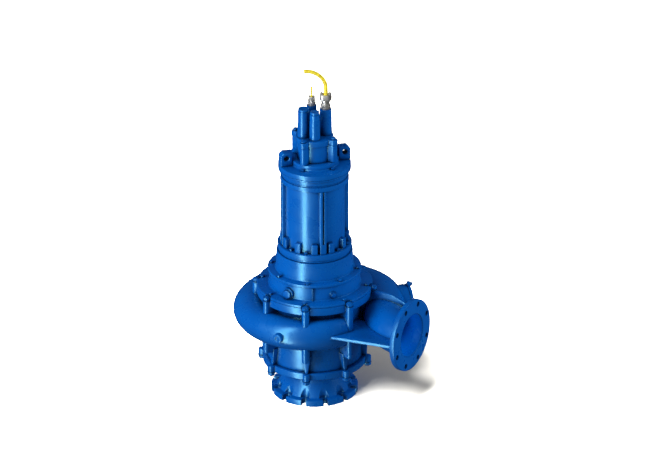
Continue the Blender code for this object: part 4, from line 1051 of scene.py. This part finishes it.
class PUMP_OT_terminal_box(bpy.types.Operator):
    """Draw the terminal housing, its cover, the entry towers and their caps"""

    bl_idname = "pump.terminal_box"
    bl_label = "Terminal box"

    def execute(self, context):
        for name, node, *sizes in (
            ("terminal_skin", "terminal_housing", 80, (2, 4), (117, 32), 2.5),
            ("terminal_cover_skin", "terminal_cover", 88, (4, 2), (120, 38), 4),
        ):
            painted(context, solid_piece(name, [], *lobed(*span(node), *sizes)), node)
        entries = [("entry_tower", entry_tower, name) for name in TOWERS]
        entries += [("blind_cap", blind_cap, name) for name in ("left", "front")]
        for kind, profile, name in entries:
            x, y, radius = TOWERS[name]
            node = f"{kind}_{name}"
            shape = turned(profile(radius, *span(node)), sides=64)
            shape = moved(shape, Matrix.Translation((x, y, 0)))
            painted(context, placed(f"{node}_skin", shape), node)
        return {"FINISHED"}


class PUMP_OT_glands(bpy.types.Operator):
    """Draw the two stainless cable glands and their clamp saddles"""

    bl_idname = "pump.glands"
    bl_label = "Cable glands"

    def execute(self, context):
        steel = bpy.data.materials["gland_steel"]
        for kind, at, radius, length, width, bore in (
            ("power", POWER_AT, 22, 56, 36, 9.5), ("control", CONTROL_AT, 18, 30, 20, 4.5),
        ):
            node = f"{kind}_gland"
            body = placed(f"{node}_skin", gland(kind, *at, radius))
            dress(body, steel, "gland_steel", node)
            skin = saddle(kind, *at, length, width, bore)
            dress(skin, steel, "gland_steel", f"{node}_saddle")
            place = entry_at(*at, top_of(f"{node}_saddle"))
            reach = length / 2 - 0.18 * width - 2
            screw = bolt_head(0.26 * width, 0.14 * width)
            screws = joined(*(
                moved(screw, place @ Matrix.Translation((side * reach, 0, 0)))
                for side in (-1, 1)
            ))
            dress(placed(f"{kind}_saddle_screws", screws), steel, "gland_steel")
        return {"FINISHED"}


class PUMP_OT_fasteners(bpy.types.Operator):
    """Put the nuts, studs and bolts on every joint"""

    bl_idname = "pump.fasteners"
    bl_label = "Fasteners"

    def execute(self, context):
        sizes = context.scene.pump_sizes
        nut = sizes.casing_nut / MM
        bolt = sizes.flange_bolt / MM
        at = Matrix.Translation
        upper = moved(stud_nut(nut, 16, 20, 5), at((NUT_CIRCLE, 0, CASING_TOP - NUT_SEAT)))
        flip = Matrix.Rotation(math.pi, 4, "X")
        under = CASING_FOOT - GAP - SUCTION_FLANGE
        lower = moved(stud_nut(nut, 15, 20, 6), at((247, 0, under)) @ flip)
        painted(context, placed("casing_nuts", around(upper, LUG_ANGLES)))
        painted(context, placed("cover_nuts", around(lower, LUG_ANGLES)))
        head = bolt_head(bolt, 0.45 * bolt)
        flanges = {
            "casing_cover_bolts": (245, CASING_TOP + GAP + COVER_RIM,
                                   [angle - 1.5 for angle in LUG_ANGLES], 1.0),
            "bracket_bolts": (203, foot_of("bearing_bracket") + BRACKET_FLANGE, LUG_ANGLES, 1.0),
            "motor_foot_bolts": (153, MOTOR_DECK, FOOT_BOLT_ANGLES, 0.95),
            "end_cover_bolts": (122, top_of("end_cover") - END_STEP, (-87, -17, 93, 163), 0.9),
            "terminal_bolts": (101, top_of("terminal_cover"), QUARTERS, 1.1),
        }
        for name, (radius, level, angles, share) in flanges.items():
            one = moved(head, at((radius, 0, level)) @ Matrix.Scale(share, 4))
            painted(context, placed(name, around(one, angles)))
        ears = around(moved(head, at((91, 0, 0))), QUARTERS)
        face = on_handhole(GAP + HANDHOLE_COVER)
        painted(context, placed("handhole_bolts", moved(ears, face)))
        return {"FINISHED"}


class PUMP_OT_stage(bpy.types.Operator):
    """Lay the pale floor and hang the soft studio lights"""

    bl_idname = "pump.stage"
    bl_label = "Floor and lights"

    def execute(self, context):
        mesh = bpy.data.meshes.new("floor")
        corners = [(-60, -60, 0), (60, -60, 0), (60, 60, 0), (-60, 60, 0)]
        mesh.from_pydata(corners, [], [(0, 1, 2, 3)])
        mesh.materials.append(floor_paint())
        floor = bpy.data.objects.new("floor", mesh)
        floor.visible_glossy = floor.visible_shadow = floor.visible_diffuse = False
        context.scene.collection.objects.link(floor)
        glint = self.panel(context, "glint_strip", (-7, 0), (1.4, 16), 1500)
        glint.visible_diffuse = False
        key = self.panel(context, "key_panel", (-30, 16), (4, 4), 470)
        rear = self.panel(context, "rear_panel", (110, 18), (4, 4), 260)
        key.visible_glossy = rear.visible_glossy = False
        overhead = self.panel(context, "floor_panel", (0, 58), (3.4, 3.4), 2900, height=0)
        bore_fill = self.bore_fill(context)
        self.split("lit_by_floor_panel", floor, "INCLUDE", overhead)
        self.split("not_lit_by_side_panels", floor, "EXCLUDE", key, rear)
        self.sky(context)
        context.scene.view_settings.view_transform = "Standard"
        return {"FINISHED"}

    def bore_fill(self, context):
        """A weak lamp inside the outlet."""
        lamp = bpy.data.lights.new("bore_fill", "POINT")
        lamp.energy = 0.3
        lamp.shadow_soft_size = 0.04
        light = bpy.data.objects.new("bore_fill", lamp)
        light.location = (SHAFT.x + 0.43, SHAFT.y, SPIRAL_HEIGHT * MM)
        light.visible_glossy = light.visible_camera = False
        context.scene.collection.objects.link(light)
        return light

    def split(self, name, floor, state, *lights):
        """Let lights reach the floor alone, or everything but the floor."""
        group = bpy.data.collections.new(name)
        group.objects.link(floor)
        group.collection_objects[0].light_linking.link_state = state
        for light in lights:
            light.light_linking.receiver_collection = group

    def sky(self, context):
        """White to the camera, dim for everything else."""
        tree = Tree(bpy.data.worlds.new("studio"), "Background")
        seen = tree.add("ShaderNodeLightPath").outputs
        gloss = tree.ramp(seen["Is Glossy Ray"], 0.0, 1.0, 0.34, 0.015)
        direct = tree.ramp(seen["Is Camera Ray"], 0.0, 1.0, gloss)
        context.scene.world = tree.surface({"Color": (1, 1, 1, 1), "Strength": direct})

    def panel(self, context, name, way, size, power, height=0.8):
        """A soft rectangular light 6 m away that faces a point on the shaft."""
        data = bpy.data.lights.new(name, "AREA")
        data.shape = "RECTANGLE"
        data.size, data.size_y = size
        data.energy = power
        light = bpy.data.objects.new(name, data)
        back = direction(*way)
        light.location = Vector((SHAFT.x, SHAFT.y, height)) + back * 6
        light.rotation_euler = back.to_track_quat("Z", "Y").to_euler()
        light.visible_camera = False
        context.scene.collection.objects.link(light)
        return light


OPERATORS = (
    PUMP_OT_camera, PUMP_OT_cables, PUMP_OT_suction_cover, PUMP_OT_casing, PUMP_OT_column,
    PUMP_OT_terminal_box, PUMP_OT_glands, PUMP_OT_fasteners, PUMP_OT_stage,
)


class PUMP_PT_sidebar(bpy.types.Panel):
    """List the pump's sizes and its pieces"""

    bl_idname = "PUMP_PT_sidebar"
    bl_label = "Submersible Pump"
    bl_space_type = "VIEW_3D"
    bl_region_type = "UI"
    bl_category = "Pump"

    def draw(self, context):
        for name in PumpSizes.__annotations__:
            self.layout.prop(context.scene.pump_sizes, name)
        for operator in OPERATORS:
            self.layout.operator(operator.bl_idname)


CLASSES = (PumpSizes, *OPERATORS, PUMP_PT_sidebar)


def register():
    for item in CLASSES:
        bpy.utils.register_class(item)
    bpy.types.Scene.pump_sizes = PointerProperty(type=PumpSizes)


def unregister():
    del bpy.types.Scene.pump_sizes
    for item in reversed(CLASSES):
        bpy.utils.unregister_class(item)


def main():
    """Register the classes and make every piece in order."""
    register()
    for operator in OPERATORS:
        group, name = operator.bl_idname.split(".")
        getattr(getattr(bpy.ops, group), name)()


if __name__ == "__main__":
    main()
